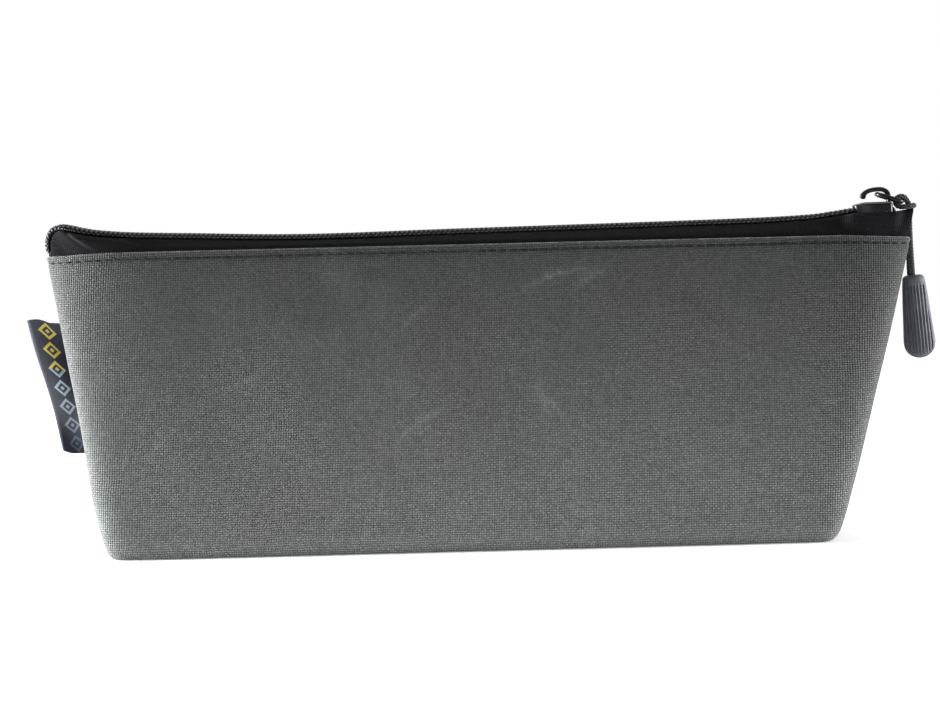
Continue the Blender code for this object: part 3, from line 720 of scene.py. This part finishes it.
# the hem's value is a painted highlight along the rim of the rolled hem; the foot's and the seams' are pale
# rubbed marks
HEM_PAINTED_HIGHLIGHT, FOOT_PALENESS, SEAM_PALENESS = 0.50, 0.10, 0.16
BACK_CREASES = (9 * MM, 4 * MM)  # how far the back's lie from the front's, mirrored: sideways and down
CREASES = (  # front face: middle x and height, half length, degrees from level, strength
    (24.0, 70.5, 9.0, 16.0, 0.55),
    (33.0, 69.5, 4.5, 28.0, 0.40),
    (-13.0, 61.0, 6.0, 40.0, 0.30),
    (20.0, 39.0, 5.0, -70.0, 0.50),
    (23.0, 36.5, 3.5, -50.0, 0.35),
    (-13.0, 33.0, 8.0, 35.0, 0.40),
    (-58.0, 45.0, 7.0, 20.0, 0.25),
    (70.0, 50.0, 8.0, -35.0, 0.22),
    (-80.0, 30.0, 6.0, 50.0, 0.30),
    (55.0, 20.0, 7.0, 15.0, 0.22),
)


def crease_mark(x, z):
    """How rubbed a point of a face is by the creases across it."""
    total = np.zeros_like(x)
    for middle, height, half, degrees, strength in CREASES:
        turn = math.radians(degrees)
        dx, dz = x / MM - middle, z / MM - height
        along = dx * math.cos(turn) + dz * math.sin(turn)
        off = -dx * math.sin(turn) + dz * math.cos(turn) + 0.018 * along**2
        fade = np.exp(-((along / half) ** 4))
        line = bell(off, 0.45) + 0.3 * bell(off, 1.8)
        total = total + CREASE_PALENESS * strength * fade * line
    return total


def ripple(x, z, seed):
    """A few long soft waves, the same each run."""
    rng = np.random.default_rng(seed)
    total = np.zeros_like(x)
    for _ in range(9):
        wave_length = rng.uniform(26, 75) * MM
        heading = rng.uniform(0, math.pi)
        phase = rng.uniform(0, 2 * math.pi)
        turn = (x * math.cos(heading) + z * math.sin(heading)) / wave_length * 2 * math.pi
        total += np.sin(turn + phase) * wave_length / 60e-3
    return total / 3


def wall_piece(end, side, relief):
    """One end's half of the front or back wall, from the middle of the face to the side seam."""
    shares = wall_shares(end)
    points, lengths, marks = [], [], []
    for up, inset, lift in wall_profile():
        at, normal, along = wall_row(shares, up, side, inset, lift)
        face_z = up * WALL_HEIGHT
        calm = ease(1 - np.abs(shares), 0.0, 0.16) * ease(face_z, BASE_FILLET, 16 * MM)
        calm = calm * ease(WALL_HEIGHT - face_z, 0.0, 14 * MM)
        swell = relief(shares, up) * calm
        stitch = bell(WALL_HEIGHT - face_z - STITCH_DROP, 0.45 * MM)
        pucker = 0.6 + 0.4 * np.cos(along / STITCH_PITCH * 2 * math.pi)
        sunk = STITCH_SINK * stitch * pucker * (inset == 0.0)
        at = at + normal * (swell - sunk)[:, None]
        if side == FRONT:
            crease = crease_mark(at[:, 0], at[:, 2])
        else:
            crease = crease_mark(BACK_CREASES[0] - at[:, 0], at[:, 2] + BACK_CREASES[1])
        # the rolled hem's rim gets a painted highlight on top of the creases' wear
        rub_and_highlight = crease * (inset == 0.0) + (HEM_PAINTED_HIGHLIGHT if lift > 0.3 * HEM_THICKNESS else 0.0)
        rub_and_highlight = rub_and_highlight + FOOT_PALENESS * bell(face_z - BASE_FILLET, 2.5 * MM)
        seam = bell(along[-1 if end == RIGHT else 0] - along, 1.6 * MM)
        rub_and_highlight = rub_and_highlight + SEAM_PALENESS * seam * ease(face_z, 0.0, 35 * MM)
        points.append(at)
        lengths.append(along)
        marks.append(rub_and_highlight)
    points = np.array(points)
    up_the_cloth = distances(points[:, len(shares) // 2])[:, None]
    uvs = joined(np.array(lengths), up_the_cloth)
    shape = Shape().grid(points, uvs, wrap=True, capped=True, mark=np.array(marks))
    return shape.build(name_of(end, side, "canvas"), CANVAS_CLOTH, 60)


def name_of(end, side, word):
    return f"{SIDE_WORDS[side]}_{word}_{END_WORDS[end]}"


def base_piece():
    """The base: its rounded fold all round, and the floor it encloses."""
    shares = np.linspace(-1, 1, 160)
    sides = []
    for side in (FRONT, BACK):
        start, normal, _ = wall_row(shares, WALL_START, side)
        foot, normal_at_foot, _ = wall_row(shares, 0.0, side)
        inner = foot.copy()
        inner[:, :2] -= normal[:, :2] * BASE_FILLET
        inner[:, 1] = side * np.maximum(side * inner[:, 1], 0.0)
        sides.append((start, foot, inner, normal_at_foot))
    # one ring runs along the front and back again along the back
    start, foot, inner, outward = (
        np.concatenate([front, back[::-1][1:-1]]) for front, back in zip(*sides)
    )
    girth = distances(start)
    outer, inside, uvs = [], [], []
    for t in np.linspace(0, 1, 8):
        row = start * (1 - t) ** 2 + foot * 2 * t * (1 - t) + inner * t * t
        outer.append(row)
        inside.append(row + CANVAS * (np.array([0.0, 0.0, t]) - outward * (1 - t)))
        uvs.append(joined(girth, row[:, 2] - 20 * MM))
    for shrink in (0.985, 0.8, 0.6, 0.4, 0.2, 0.02):
        row = inner * np.array([mix(0.85, 1.0, shrink), shrink, 1.0])
        outer.append(row)
        inside.append(row + np.array([0.0, 0.0, CANVAS]))
        uvs.append(row[:, :2])
    rows, columns = len(outer), len(girth)
    shape = Shape()
    for grid in (outer, inside):
        floor = [[(rows - 1) * columns + k for k in range(columns)]]
        shape.add(np.array(grid), round_faces(rows, columns) + floor, np.array(uvs), mark=0.08)
    for k in range(columns):
        m = (k + 1) % columns
        shape.faces.append([k, m, rows * columns + m, rows * columns + k])
    return shape.build("canvas_base", CANVAS_CLOTH, 60)


def stitch_piece(end, side):
    """The dark topstitch under the hem: one short sunken stitch after another."""
    shape = Shape()
    up = 1.0 - STITCH_DROP / WALL_HEIGHT
    shares = np.linspace(0, 1, 1200) * end
    line, normal, along = wall_row(shares, up, side)
    along = np.abs(along)
    line = line + normal * 0.02 * MM
    start = STITCH_PITCH / 2
    while start + STITCH_LENGTH < along[-1] - 2.0 * MM:
        places = np.linspace(start, start + STITCH_LENGTH, 7)
        bow = np.sin(np.linspace(0, math.pi, 7))
        outward = along_line(places, along, normal)
        points = along_line(places, along, line) + outward * (bow[:, None] * 0.16 * MM - 0.12 * MM)
        shape.tube(points, STITCH_RADIUS * (0.55 + 0.45 * bow))
        start += STITCH_PITCH
    return shape.build(name_of(end, side, "topstitch"), THREAD, 70)


# ---------------- zip

CHAIN = through(CHAIN_TOP, 0.5) * MM
CHAIN_ALONG = distances(CHAIN)
CHAIN_MIDDLE = np.interp(0.0, CHAIN[:, 0], CHAIN_ALONG)
CHAIN_LAST = np.interp(COIL_END, CHAIN[:, 0], CHAIN_ALONG)
CHAIN_TANGENT = unit(np.gradient(CHAIN, axis=0))


def chain_x(distance):
    return np.interp(distance, CHAIN_ALONG, CHAIN[:, 0])


def chain_point(distance, clear, across, depth, side):
    """Points beside the chain at distances along it: clear of its middle, across the coil, below its top."""
    x = chain_x(distance)
    z = np.interp(distance, CHAIN_ALONG, CHAIN[:, 1])
    lean = lean_at(x)
    width = across * narrowing(x)
    sunk = depth + width * np.sin(lean)
    points = joined(x, side * (clear + width * np.cos(lean)), z)
    return points + chain_down(distance) * np.reshape(sunk, (-1, 1))


def chain_down(distance):
    """The way from the chain's top into it."""
    tangent = along_line(distance, CHAIN_ALONG, CHAIN_TANGENT)
    return joined(tangent[..., 1], 0.0, -tangent[..., 0])


def lean_at(x):
    """How far the coil tips outwards at x, in radians."""
    places, angles = zip(*COIL_LEAN)
    return np.radians(np.interp(x / MM, places, angles))


def narrowing(x):
    """The coil's share of its full width at x."""
    return np.minimum(*(mix(share, 1.0, ease(x, seam, full)) for seam, full, share in NARROWINGS))


def spread(x):
    """How much further apart the two sides are where the slider's post parts them."""
    return SLIDER_WIDENING * ease(x, SLIDER_X - SPREAD_START, POST[0] - POST[1] / 2)


def slider_zone(x):
    """1 where the slider stands at either end of its path, 0 away from it."""
    centre = np.where(x > 0, SLIDER_X, SLIDER_X - SLIDER_TRAVEL)
    return 1.0 - ease(np.abs(x - centre), *SLOT_FADE)


def tape_clear(x):
    """How far a tape's upper edge stays from the middle."""
    closing = ease(x, *TAPE_CLOSES)
    return 2 * MESH_GAP + np.maximum(spread(x) * (1 - closing), TAPE_END_CLEAR * closing)


def tape_piece(end, side):
    """One end's half of a zip tape: from under the coil down behind the hem."""
    total = CHAIN_ALONG[-1]
    span = (0, CHAIN_MIDDLE) if end == LEFT else (CHAIN_MIDDLE, total)
    distance = np.linspace(*span, 200)
    x = chain_x(distance)
    lean = lean_at(x)
    clear = tape_clear(x) + TAPE_THICKNESS / 2 * np.sin(lean)
    depth = COIL_THICKNESS / 2 + (TAPE_DEPTH - COIL_THICKNESS / 2) / np.cos(lean)
    beside = COIL_WIDTH + TAPE_BESIDE
    beside = mix(beside, np.maximum(beside, SLOT_HALF_WIDTH - clear), slider_zone(x))
    rows = [chain_point(distance, clear, COIL_WIDTH * share, depth, side) for share in (0, 0.5, 1)]
    rows.append(chain_point(distance, clear, beside, depth + TAPE_DROP, side))
    along = distance / total
    shares = mix(-HIDDEN_SHARE, HIDDEN_SHARE, along)
    hidden = HEM_THICKNESS + 0.15 * MM + TAPE_THICKNESS / 2
    bare = mix(hidden, 0.3 * MM, ease(np.abs(shares), 0.93, HIDDEN_SHARE))
    for above, inset in ((0.7 * MM, bare), (0.1 * MM, mix(bare, hidden, 0.3)), (-1.2 * MM, hidden),
                         (-3.5 * MM, hidden), (-TAPE_SEWN, hidden)):
        up = 1.0 + min(above, 0.0) / WALL_HEIGHT
        row, _, _ = wall_row(shares, up, side, inset, max(above, 0.0))
        row[:, 1] = side * np.maximum(side * row[:, 1], 0.27 * MM)
        rows.append(row)
    rows = np.array(rows)
    # a smooth profile through those rows, at each place along the tape
    points = np.array([resample(rows[:, column], 30) for column in range(rows.shape[1])]).transpose(1, 0, 2)
    run = distances(points[:, 100])
    uvs = joined(distance[None, :], run[:, None])
    return sheet_piece(name_of(end, side, "tape"), points, uvs, TAPE_THICKNESS, TAPE_CLOTH, 70)


def resample(points, count):
    """count evenly spaced points along a polyline, its corners rounded by two passes."""
    along = distances(points)
    even = np.linspace(0, along[-1], count)
    made = along_line(even, along, points)
    for _ in range(2):
        made[1:-1] = 0.25 * made[:-2] + 0.5 * made[1:-1] + 0.25 * made[2:]
    return made


def coil_span(end, start):
    """Where one end's half of a coil begins and stops along the chain; start is for the left end."""
    return (start, CHAIN_MIDDLE) if end == LEFT else (CHAIN_MIDDLE, CHAIN_LAST)


def coil_clear(x):
    """How far a coil stays from the middle, tipped as it is."""
    return MESH_GAP + spread(x) + COIL_THICKNESS / 2 * np.sin(lean_at(x))


def coil_piece(end, side):
    """One end's half of a coil: a flattened helix whose heads mesh with the other side's."""
    low, high = coil_span(end, 0.6 * MM)
    turns = (high - low) / COIL_PITCH
    phase = 2 * math.pi * low / COIL_PITCH + (math.pi if side == BACK else 0.0)
    angle = phase + np.linspace(0, turns * 2 * math.pi, int(turns * POINTS_PER_TURN))
    distance = low + (angle - phase) / (2 * math.pi) * COIL_PITCH
    x = chain_x(distance)
    clear = coil_clear(x)
    cosine, sine = signed_power(np.cos(angle), 0.75), np.sin(angle)
    outer = COIL_WIDTH - COIL_WIRE
    across = mix(-COIL_HEAD, outer, (1 - cosine) / 2)
    depth = COIL_THICKNESS / 2 - (COIL_THICKNESS / 2 - COIL_WIRE) * sine
    points = chain_point(distance, clear, across, depth, side)
    shape = Shape()
    shape.tube(points, COIL_WIRE_WIDTH, squeeze=(chain_down(distance), COIL_WIRE / COIL_WIRE_WIDTH))
    core = np.linspace(low, high, int((high - low) / (1 * MM)))
    clear = MESH_GAP + spread(chain_x(core))
    shape.tube(chain_point(core, clear, COIL_WIDTH / 2, COIL_THICKNESS / 2, side), COIL_CORE, sides=10)
    return shape.build(name_of(end, side, "coil"), NYLON, 80)


def coil_stitch_piece(end, side):
    """The two rows of thread that tie a coil to its tape, over one turn after another; the pale row along the
    edge also gives a dotted line of painted glints on the coil's flank.
    """
    low, high = coil_span(end, 0.8 * MM)
    distance = np.linspace(low, high, int((high - low) / COIL_PITCH * 6))
    x = chain_x(distance)
    clear = coil_clear(x)
    wave = np.cos(distance / COIL_PITCH * 2 * math.pi)
    shape = Shape()
    tie = chain_point(distance, clear, 1.6 * MM, 0.02 * MM + 0.14 * MM * (1 - wave), side)
    shape.tube(tie, TIE_THREADS[0], sides=6)
    # the row along the edge: tie thread whose pale dots are also painted glints on the coil's flank
    edge = chain_point(distance, clear, COIL_WIDTH + 0.06 * MM - 0.45 * MM * (1 - wave), 0.75 * MM, side)
    shape.tube(edge, TIE_THREADS[1], sides=6)
    return shape.build(name_of(end, side, "coil_thread"), TIE_THREAD_AND_PAINTED_GLINTS, 80)


# ---------------- slider and pull

def slider_top(shape):
    """The upper plate with its two flanges, section after section from nose to tail."""
    nose_end, tail_start = SLIDER_ROUNDED[0], 1 - SLIDER_ROUNDED[1]
    stations = np.concatenate([
        np.linspace(0, nose_end, 5)[:-1],
        np.linspace(nose_end, tail_start, 30),
        np.linspace(tail_start, 1, 5)[1:],
    ])
    turn = np.linspace(math.pi, 0, 33)
    sections = []
    for t in stations:
        nose = quarter(t / SLIDER_ROUNDED[0])
        tail = quarter((1 - t) / SLIDER_ROUNDED[1])
        half = mix(*SLIDER_HALF_WIDTHS, ease(t, 0.08, 0.52)) * mix(0.72, 1.0, nose) * mix(0.85, 1.0, tail)
        top = mix(*SLIDER_TOPS, ease(t, 0.0, 0.35)) - 0.25 * MM * (1 - nose * tail)
        skirt = mix(SLIDER_ROOF - 0.1 * MM, SLIDER_SKIRT, ease(t, 0.0, 0.1))
        shoulder = SLIDER_ROOF + 0.1 * MM
        y = half * signed_power(np.cos(turn), 0.55)
        z = shoulder + (top - shoulder) * np.abs(np.sin(turn)) ** 0.5
        inner_half = half - SLIDER_WALL
        inner = [
            (inner_half, skirt),
            (inner_half, SLIDER_ROOF - 0.2 * MM),
            (inner_half - 0.3 * MM, SLIDER_ROOF),
        ]
        mirrored = [(-inner_y, inner_z) for inner_y, inner_z in reversed(inner)]
        section = [(-half, skirt), *zip(y, z), (half, skirt), *inner, *mirrored]
        x = mix(SLIDER_NOSE, SLIDER_TAIL, t)
        sections.append([(x, *at) for at in section])
    shape.loft(sections)


def slider_lower_plate(shape):
    turn = full_turn(20)
    sections = []
    for t in np.linspace(0, 1, 14):
        edge = math.sqrt(max(0.0, 1 - abs(2 * t - 1) ** 6))
        half = mix(*LOWER_PLATE_HALF_WIDTHS, t) * mix(0.75, 1.0, edge)
        y = half * signed_power(np.cos(turn), 0.4)
        thick = LOWER_PLATE_HALF_THICKNESS * mix(0.6, 1.0, edge)
        z = LOWER_PLATE_MIDDLE + thick * signed_power(np.sin(turn), 0.6)
        sections.append(joined(mix(*LOWER_PLATE_ENDS, t), y, z))
    shape.loft(sections)


def slider_post(shape):
    turn = np.linspace(0, 2 * math.pi, 17)
    middle, length, width = POST
    x, y = middle + length / 2 * np.cos(turn), width / 2 * np.sin(turn)
    rows = np.array([joined(x, y, z) for z in np.linspace(*POST_HEIGHTS, 4)])
    shape.grid(rows)


def slider_piece():
    """The slider: an upper plate with flanges, a lower plate, and the post between them."""
    shape = Shape()
    slider_top(shape)
    slider_lower_plate(shape)
    slider_post(shape)
    return shape.build("slider_shell", ENAMEL, 38)


def crown_piece():
    """The open hook on the slider, which the ring slips into."""
    line = through(CROWN_PATH, 0.1) * MM
    points = joined(line[:, 0], 0.0, line[:, 1])
    share = np.linspace(0, 1, len(line))
    run = np.arange(len(line)) * 0.1 * MM
    bulb, reach = CROWN_BULB
    thick = CROWN_HALF_THICKNESS + bulb * bell(run, reach)
    width = mix(*CROWN_HALF_WIDTHS, ease(share, 0.6, 1.0))
    end = np.maximum(quarter((run + 0.01 * MM) / (0.9 * MM)), math.sqrt(0.02))
    tangent = unit(np.gradient(points, axis=0))
    out = np.cross(tangent, (0.0, 1.0, 0.0))
    turn = full_turn(20)
    up, across = signed_power(np.cos(turn), 0.6), signed_power(np.sin(turn), 0.6)
    sections = points[:, None] + out[:, None] * (up[None, :] * (thick * end)[:, None])[..., None]
    sections[..., 1] += across[None, :] * (width * end)[:, None]
    return Shape().loft(sections).build("slider_hook", ENAMEL, 50)


def ring_piece():
    """The wire ring through the hook, with its bar end for the cord."""
    middle = np.array((RING_PIVOT + RING_BAR) / 2)
    half = (RING_BAR - RING_PIVOT).length / 2
    way = np.array((RING_BAR - RING_PIVOT).normalized())
    turn = full_turn(72)
    x = signed_power(np.cos(turn), RING_ROUNDNESS) * half
    y = signed_power(np.sin(turn), RING_ROUNDNESS) * RING_HALF_WIDTH
    points = middle + way * x[:, None] + np.array([0.0, 1.0, 0.0]) * y[:, None]
    for _ in range(2):
        points = 0.5 * points + 0.25 * (np.roll(points, 1, axis=0) + np.roll(points, -1, axis=0))
    return Shape().tube(points, RING_WIRE, sides=14, closed=True).build("wire_ring", ENAMEL, 80)


def cord_route():
    """The cord's middle: up from the grip, hitched round the ring's bar, and back down."""
    first, last = WRAP_TURNS[0], WRAP_TURNS[-1]
    turns = []
    for top, bottom in HITCH_SIDES:
        wrap = []
        for degrees in WRAP_TURNS:
            turn = math.radians(degrees)
            side = mix(top, bottom, (degrees - first) / (last - first)) * MM
            out = Vector((math.cos(turn) * CORD_WRAP, side, math.sin(turn) * CORD_WRAP))
            wrap.append(tuple(RING_BAR + out))
        turns.append(wrap)
    over, back = turns
    parts = (CORD_RISE, CORD_BIGHT, CORD_FALL)
    rise, bight, fall = ([tuple(Vector(at) * MM) for at in part] for part in parts)
    return through(rise + over + bight + back[::-1] + fall, 0.2 * MM)


def cord_piece(route):
    """A braid: strands round a core, half of them each way, that pass over and under each other."""
    shape = Shape().tube(route, CORD_CORE)
    tangent = unit(np.gradient(route, axis=0))
    normal, other = carried_frame(tangent, np.cross(tangent[0], (0.0, 1.0, 0.0)))
    along = np.linspace(0, 1, len(route)) * route_length(route)
    middle, weaving, strand_radius = BRAID_RADII
    for way in (-1, 1):
        for strand in range(BRAID_STRANDS):
            angle = 2 * math.pi * (strand / BRAID_STRANDS + way * along / BRAID_LAY)
            radius = middle + way * weaving * np.cos(2 * math.pi * along / BRAID_LAY * BRAID_STRANDS)
            out = np.cos(angle)[:, None] * normal + np.sin(angle)[:, None] * other
            shape.tube(route + out * radius[:, None], strand_radius, sides=6)
    return shape.build("braided_cord", BRAID, 80)


def route_length(route):
    return float(distances(route)[-1])


def grip_piece():
    """The moulded grip: a flat teardrop with a smooth collar and ribbed panels in a smooth border."""
    axis = np.array(GRIP_BOTTOM - GRIP_TOP)
    length = np.linalg.norm(axis)
    axis = axis / length
    wide = unit(np.array([axis[2], 0.0, -axis[0]])) * -1
    deep = np.array([0.0, 1.0, 0.0])
    rows, sides = 120, 288
    heights = 0.5 - 0.5 * np.cos(np.linspace(0, math.pi, rows))
    turn = full_turn(sides)
    half_wide = np.interp(heights, *GRIP_HALF_WIDTHS) * MM
    half_deep = np.interp(heights, *GRIP_HALF_DEPTHS) * MM
    top_round = quarter(heights / 0.045)
    bottom = np.clip((1 - heights) / 0.2, 0, 1)
    bottom_round = np.clip(1 - (1 - bottom) ** 2.2, 0, 1) ** 0.5
    size = np.maximum(mix(0.62, 1.0, top_round) * bottom_round, 0.001)
    sideways, outward = signed_power(np.cos(turn), 0.85), signed_power(np.sin(turn), 0.85)
    centre = np.array(GRIP_TOP) + axis * (heights * length)[:, None]
    across = sideways[None, :] * (half_wide * size)[:, None]
    through_it = outward[None, :] * (half_deep * size)[:, None]
    # ribs run lengthwise inside a smooth border, on the front and the back
    margin = (half_wide * size)[:, None] - np.abs(across)
    panel = ease(margin, *RIB_BORDER) * ease(heights, 0.10, 0.13)[:, None]
    panel = panel * ease(1 - heights, 0.055, 0.085)[:, None] * (np.abs(outward) > 0.2)[None, :]
    rib = 0.5 + 0.5 * np.cos(across / RIB_PITCH * 2 * math.pi)
    through_it = through_it - np.sign(outward)[None, :] * panel * mix(RIB_DEPTHS[1], RIB_DEPTHS[0], rib)
    points = centre[:, None] + wide * across[..., None] + deep * through_it[..., None]
    points = np.concatenate([points, points[:, :1]], axis=1)
    around = np.concatenate([turn, [2 * math.pi]]) * 3 * MM
    uvs = joined(around[None, :], (heights * length)[:, None])
    made = Shape().grid(points, uvs).build("ribbed_grip", RUBBER, 60)
    bm = bmesh.new()
    bm.from_mesh(made.data)
    bmesh.ops.remove_doubles(bm, verts=bm.verts, dist=0.005 * MM)
    bmesh.ops.holes_fill(bm, edges=bm.edges)
    bmesh.ops.recalc_face_normals(bm, faces=bm.faces)
    bm.to_mesh(made.data)
    bm.free()
    return made


# ---------------- label and bindings

def seam_x(height, end):
    """Where the side seam is at a height."""
    up = height / WALL_HEIGHT
    return end * mix(BASE_HALF_LENGTH, MOUTH_HALF_LENGTH, up) + mix(BASE_SHIFT, MOUTH_SHIFT, up)


def label_piece():
    """The folded ribbon in the left seam, its outer edge wavy."""
    up = np.linspace(0, 1, 60)[None, :]
    across = np.linspace(0, 1, 16)[:, None]  # 0 at the fold, 1 in the seam
    height = mix(LABEL_BOTTOM, LABEL_TOP, up)
    width = mix(LABEL_WIDTHS[1], LABEL_WIDTHS[0], up) - 0.5 * MM * np.sin(math.pi * up) ** 2
    x = seam_x(height, LEFT) + LABEL_HIDDEN - (width + LABEL_HIDDEN) * (1 - across)
    depth, count = LABEL_WAVE
    y = depth * np.sin(2 * math.pi * count * up) * (1 - across)
    y = y + 0.5 * MM * np.sin(math.pi * (1 - across)) * np.cos(5 * up)
    z = height + LABEL_LIFT * (1 - across) - 0.5 * MM * np.sin(2 * math.pi * (1 - across)) * (2 * up - 1)
    uvs = joined((1 - across) * 9.4 * MM, up * (LABEL_TOP - LABEL_BOTTOM))
    return sheet_piece("side_label", joined(x, y, z), uvs, LABEL_THICKNESS, LABEL_CLOTH)


def binding_piece(name, place, length):
    """A folded binding tape; place gives its points as a function of the shares across and along it."""
    across = np.linspace(0, 1, 10)[:, None]
    along = np.linspace(0, 1, 50)[None, :]
    uvs = joined(along * length, across * BINDING_WIDTH)
    return sheet_piece(name, place(across, along), uvs, BINDING_THICKNESS, BINDING_CLOTH)


def seam_binding(end):
    low, high = SEAM_BINDING_HEIGHTS

    def place(across, along):
        height = mix(low, high, along)
        x = seam_x(height, end) - end * (SEAM_BINDING_INSET + BINDING_WIDTH * across)
        return joined(x, 0.15 * MM * np.sin(9 * along) * across, height)

    return binding_piece(f"{END_WORDS[end]}_seam_tape", place, high - low)


def corner_binding(end):
    half = CORNER_BINDING_HALF_LENGTH

    def place(across, along):
        x = end * (BASE_HALF_LENGTH - CORNER_BINDING_INSET - BINDING_WIDTH * across) + BASE_SHIFT
        return joined(x, mix(-half, half, along), CANVAS + GAP + BINDING_THICKNESS / 2)

    return binding_piece(f"{END_WORDS[end]}_corner_tape", place, 2 * half)


# ---------------- the pouch

def slack(side):
    """How far the cloth stands off its plain shape, as a function of share and height share."""
    seed = 11 if side == FRONT else 23

    def relief(shares, up):
        x = shares * mix(BASE_HALF_LENGTH, MOUTH_HALF_LENGTH, up)
        return WAVE_HEIGHT * ripple(x, up * WALL_HEIGHT, seed)

    return relief


def follow(piece):
    """Bakes the piece's placement into its mesh."""
    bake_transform(piece)


def place_piece(piece, body, node):
    """The piece rides on a body and stands for a node, which is hidden."""
    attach(piece, body)
    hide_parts(node)


def build_pouch():
    for side, half in SIDE_WORDS.items():
        relief = slack(side)
        for end, word in END_WORDS.items():
            wall = wall_piece(end, side, relief)
            thread = stitch_piece(end, side)
            tape = tape_piece(end, side)
            coil = coil_piece(end, side)
            tie = coil_stitch_piece(end, side)
            for piece, slot, nodes in (
                (wall, "canvas", (f"{half}_panel", f"{word}_gusset_{half}")),
                (thread, "thread", (f"{half}_topstitch",)),
                (tape, "zip_tape", (f"{half}_tape",)),
                (coil, "zip_coil", (f"{half}_coil",)),
                (tie, "thread", ()),
            ):
                follow(piece)
                if nodes:
                    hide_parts(*nodes)
    base = base_piece()
    place_piece(base, "pouch", "base_panel")
    label = label_piece()
    place_piece(label, "pouch", "woven_label")
    for end, word in END_WORDS.items():
        place_piece(seam_binding(end), "pouch", f"{word}_seam_binding")
        place_piece(corner_binding(end), "pouch", f"{word}_corner_binding")


def build_pull():
    place_piece(slider_piece(), "slider", "slider_body")
    place_piece(crown_piece(), "slider", "slider_crown")
    place_piece(ring_piece(), "ring", "pull_ring")
    place_piece(grip_piece(), "grip", "pull_grip")
    route = cord_route()
    cord = cord_piece(route)
    place_piece(cord, "cord", "pull_cord")


def build_stage():
    """A pale floor, a bright backdrop, the lamps and the camera."""
    scene = bpy.context.scene
    scene.view_settings.view_transform = "Standard"
    floor_mesh = bpy.data.meshes.new("floor")
    bm = bmesh.new()
    bmesh.ops.create_circle(bm, cap_ends=True, segments=96, radius=FLOOR_RADIUS)
    bmesh.ops.translate(bm, verts=bm.verts, vec=FLOOR_AT)
    bm.to_mesh(floor_mesh)
    bm.free()
    floor = place_in_scene("floor", floor_mesh)
    paper = Nodes("pale_paper")
    floor_mesh.materials.append(paper.finish(
        (0.8, 0.8, 0.8),
        0.9,
        Emission_Color=(1.0, 1.0, 1.0),
        Emission_Strength=0.25,
        Specular_IOR_Level=0.1,
    ))

    n = Nodes("studio", bpy.data.worlds, "Background")
    behind = n.split(n.add("TexCoord", output="Generated"))[1]
    n.put(n.shader.inputs["Color"], (1.0, 1.0, 1.0))
    n.put(n.shader.inputs["Strength"], n.span(behind, -0.6, 0.05, *STUDIO_SKY))
    scene.world = n.owner

    for name, at, aim, width, height, power in LAMPS:
        lamp = bpy.data.lights.new(name, "AREA")
        lamp.shape = "RECTANGLE"
        lamp.size = width
        lamp.size_y = height
        lamp.energy = power
        placed = place_in_scene(name, lamp)
        placed.location = at
        placed.rotation_euler = (Vector(aim) - Vector(at)).to_track_quat("-Z", "Y").to_euler()

    camera = bpy.data.cameras.new("camera")
    camera.lens = CAMERA_LENS
    camera.sensor_width = 36.0
    camera.clip_start = 0.01
    placed = place_in_scene("camera", camera)
    aim = (CAMERA_AIM - CAMERA_AT).to_track_quat("-Z", "Y").to_matrix()
    roll = Matrix.Rotation(math.radians(-CAMERA_ROLL), 3, "Z")
    placed.matrix_world = Matrix.Translation(CAMERA_AT) @ (aim @ roll).to_4x4()
    scene.camera = placed


build_stage()
build_pull()
build_pouch()
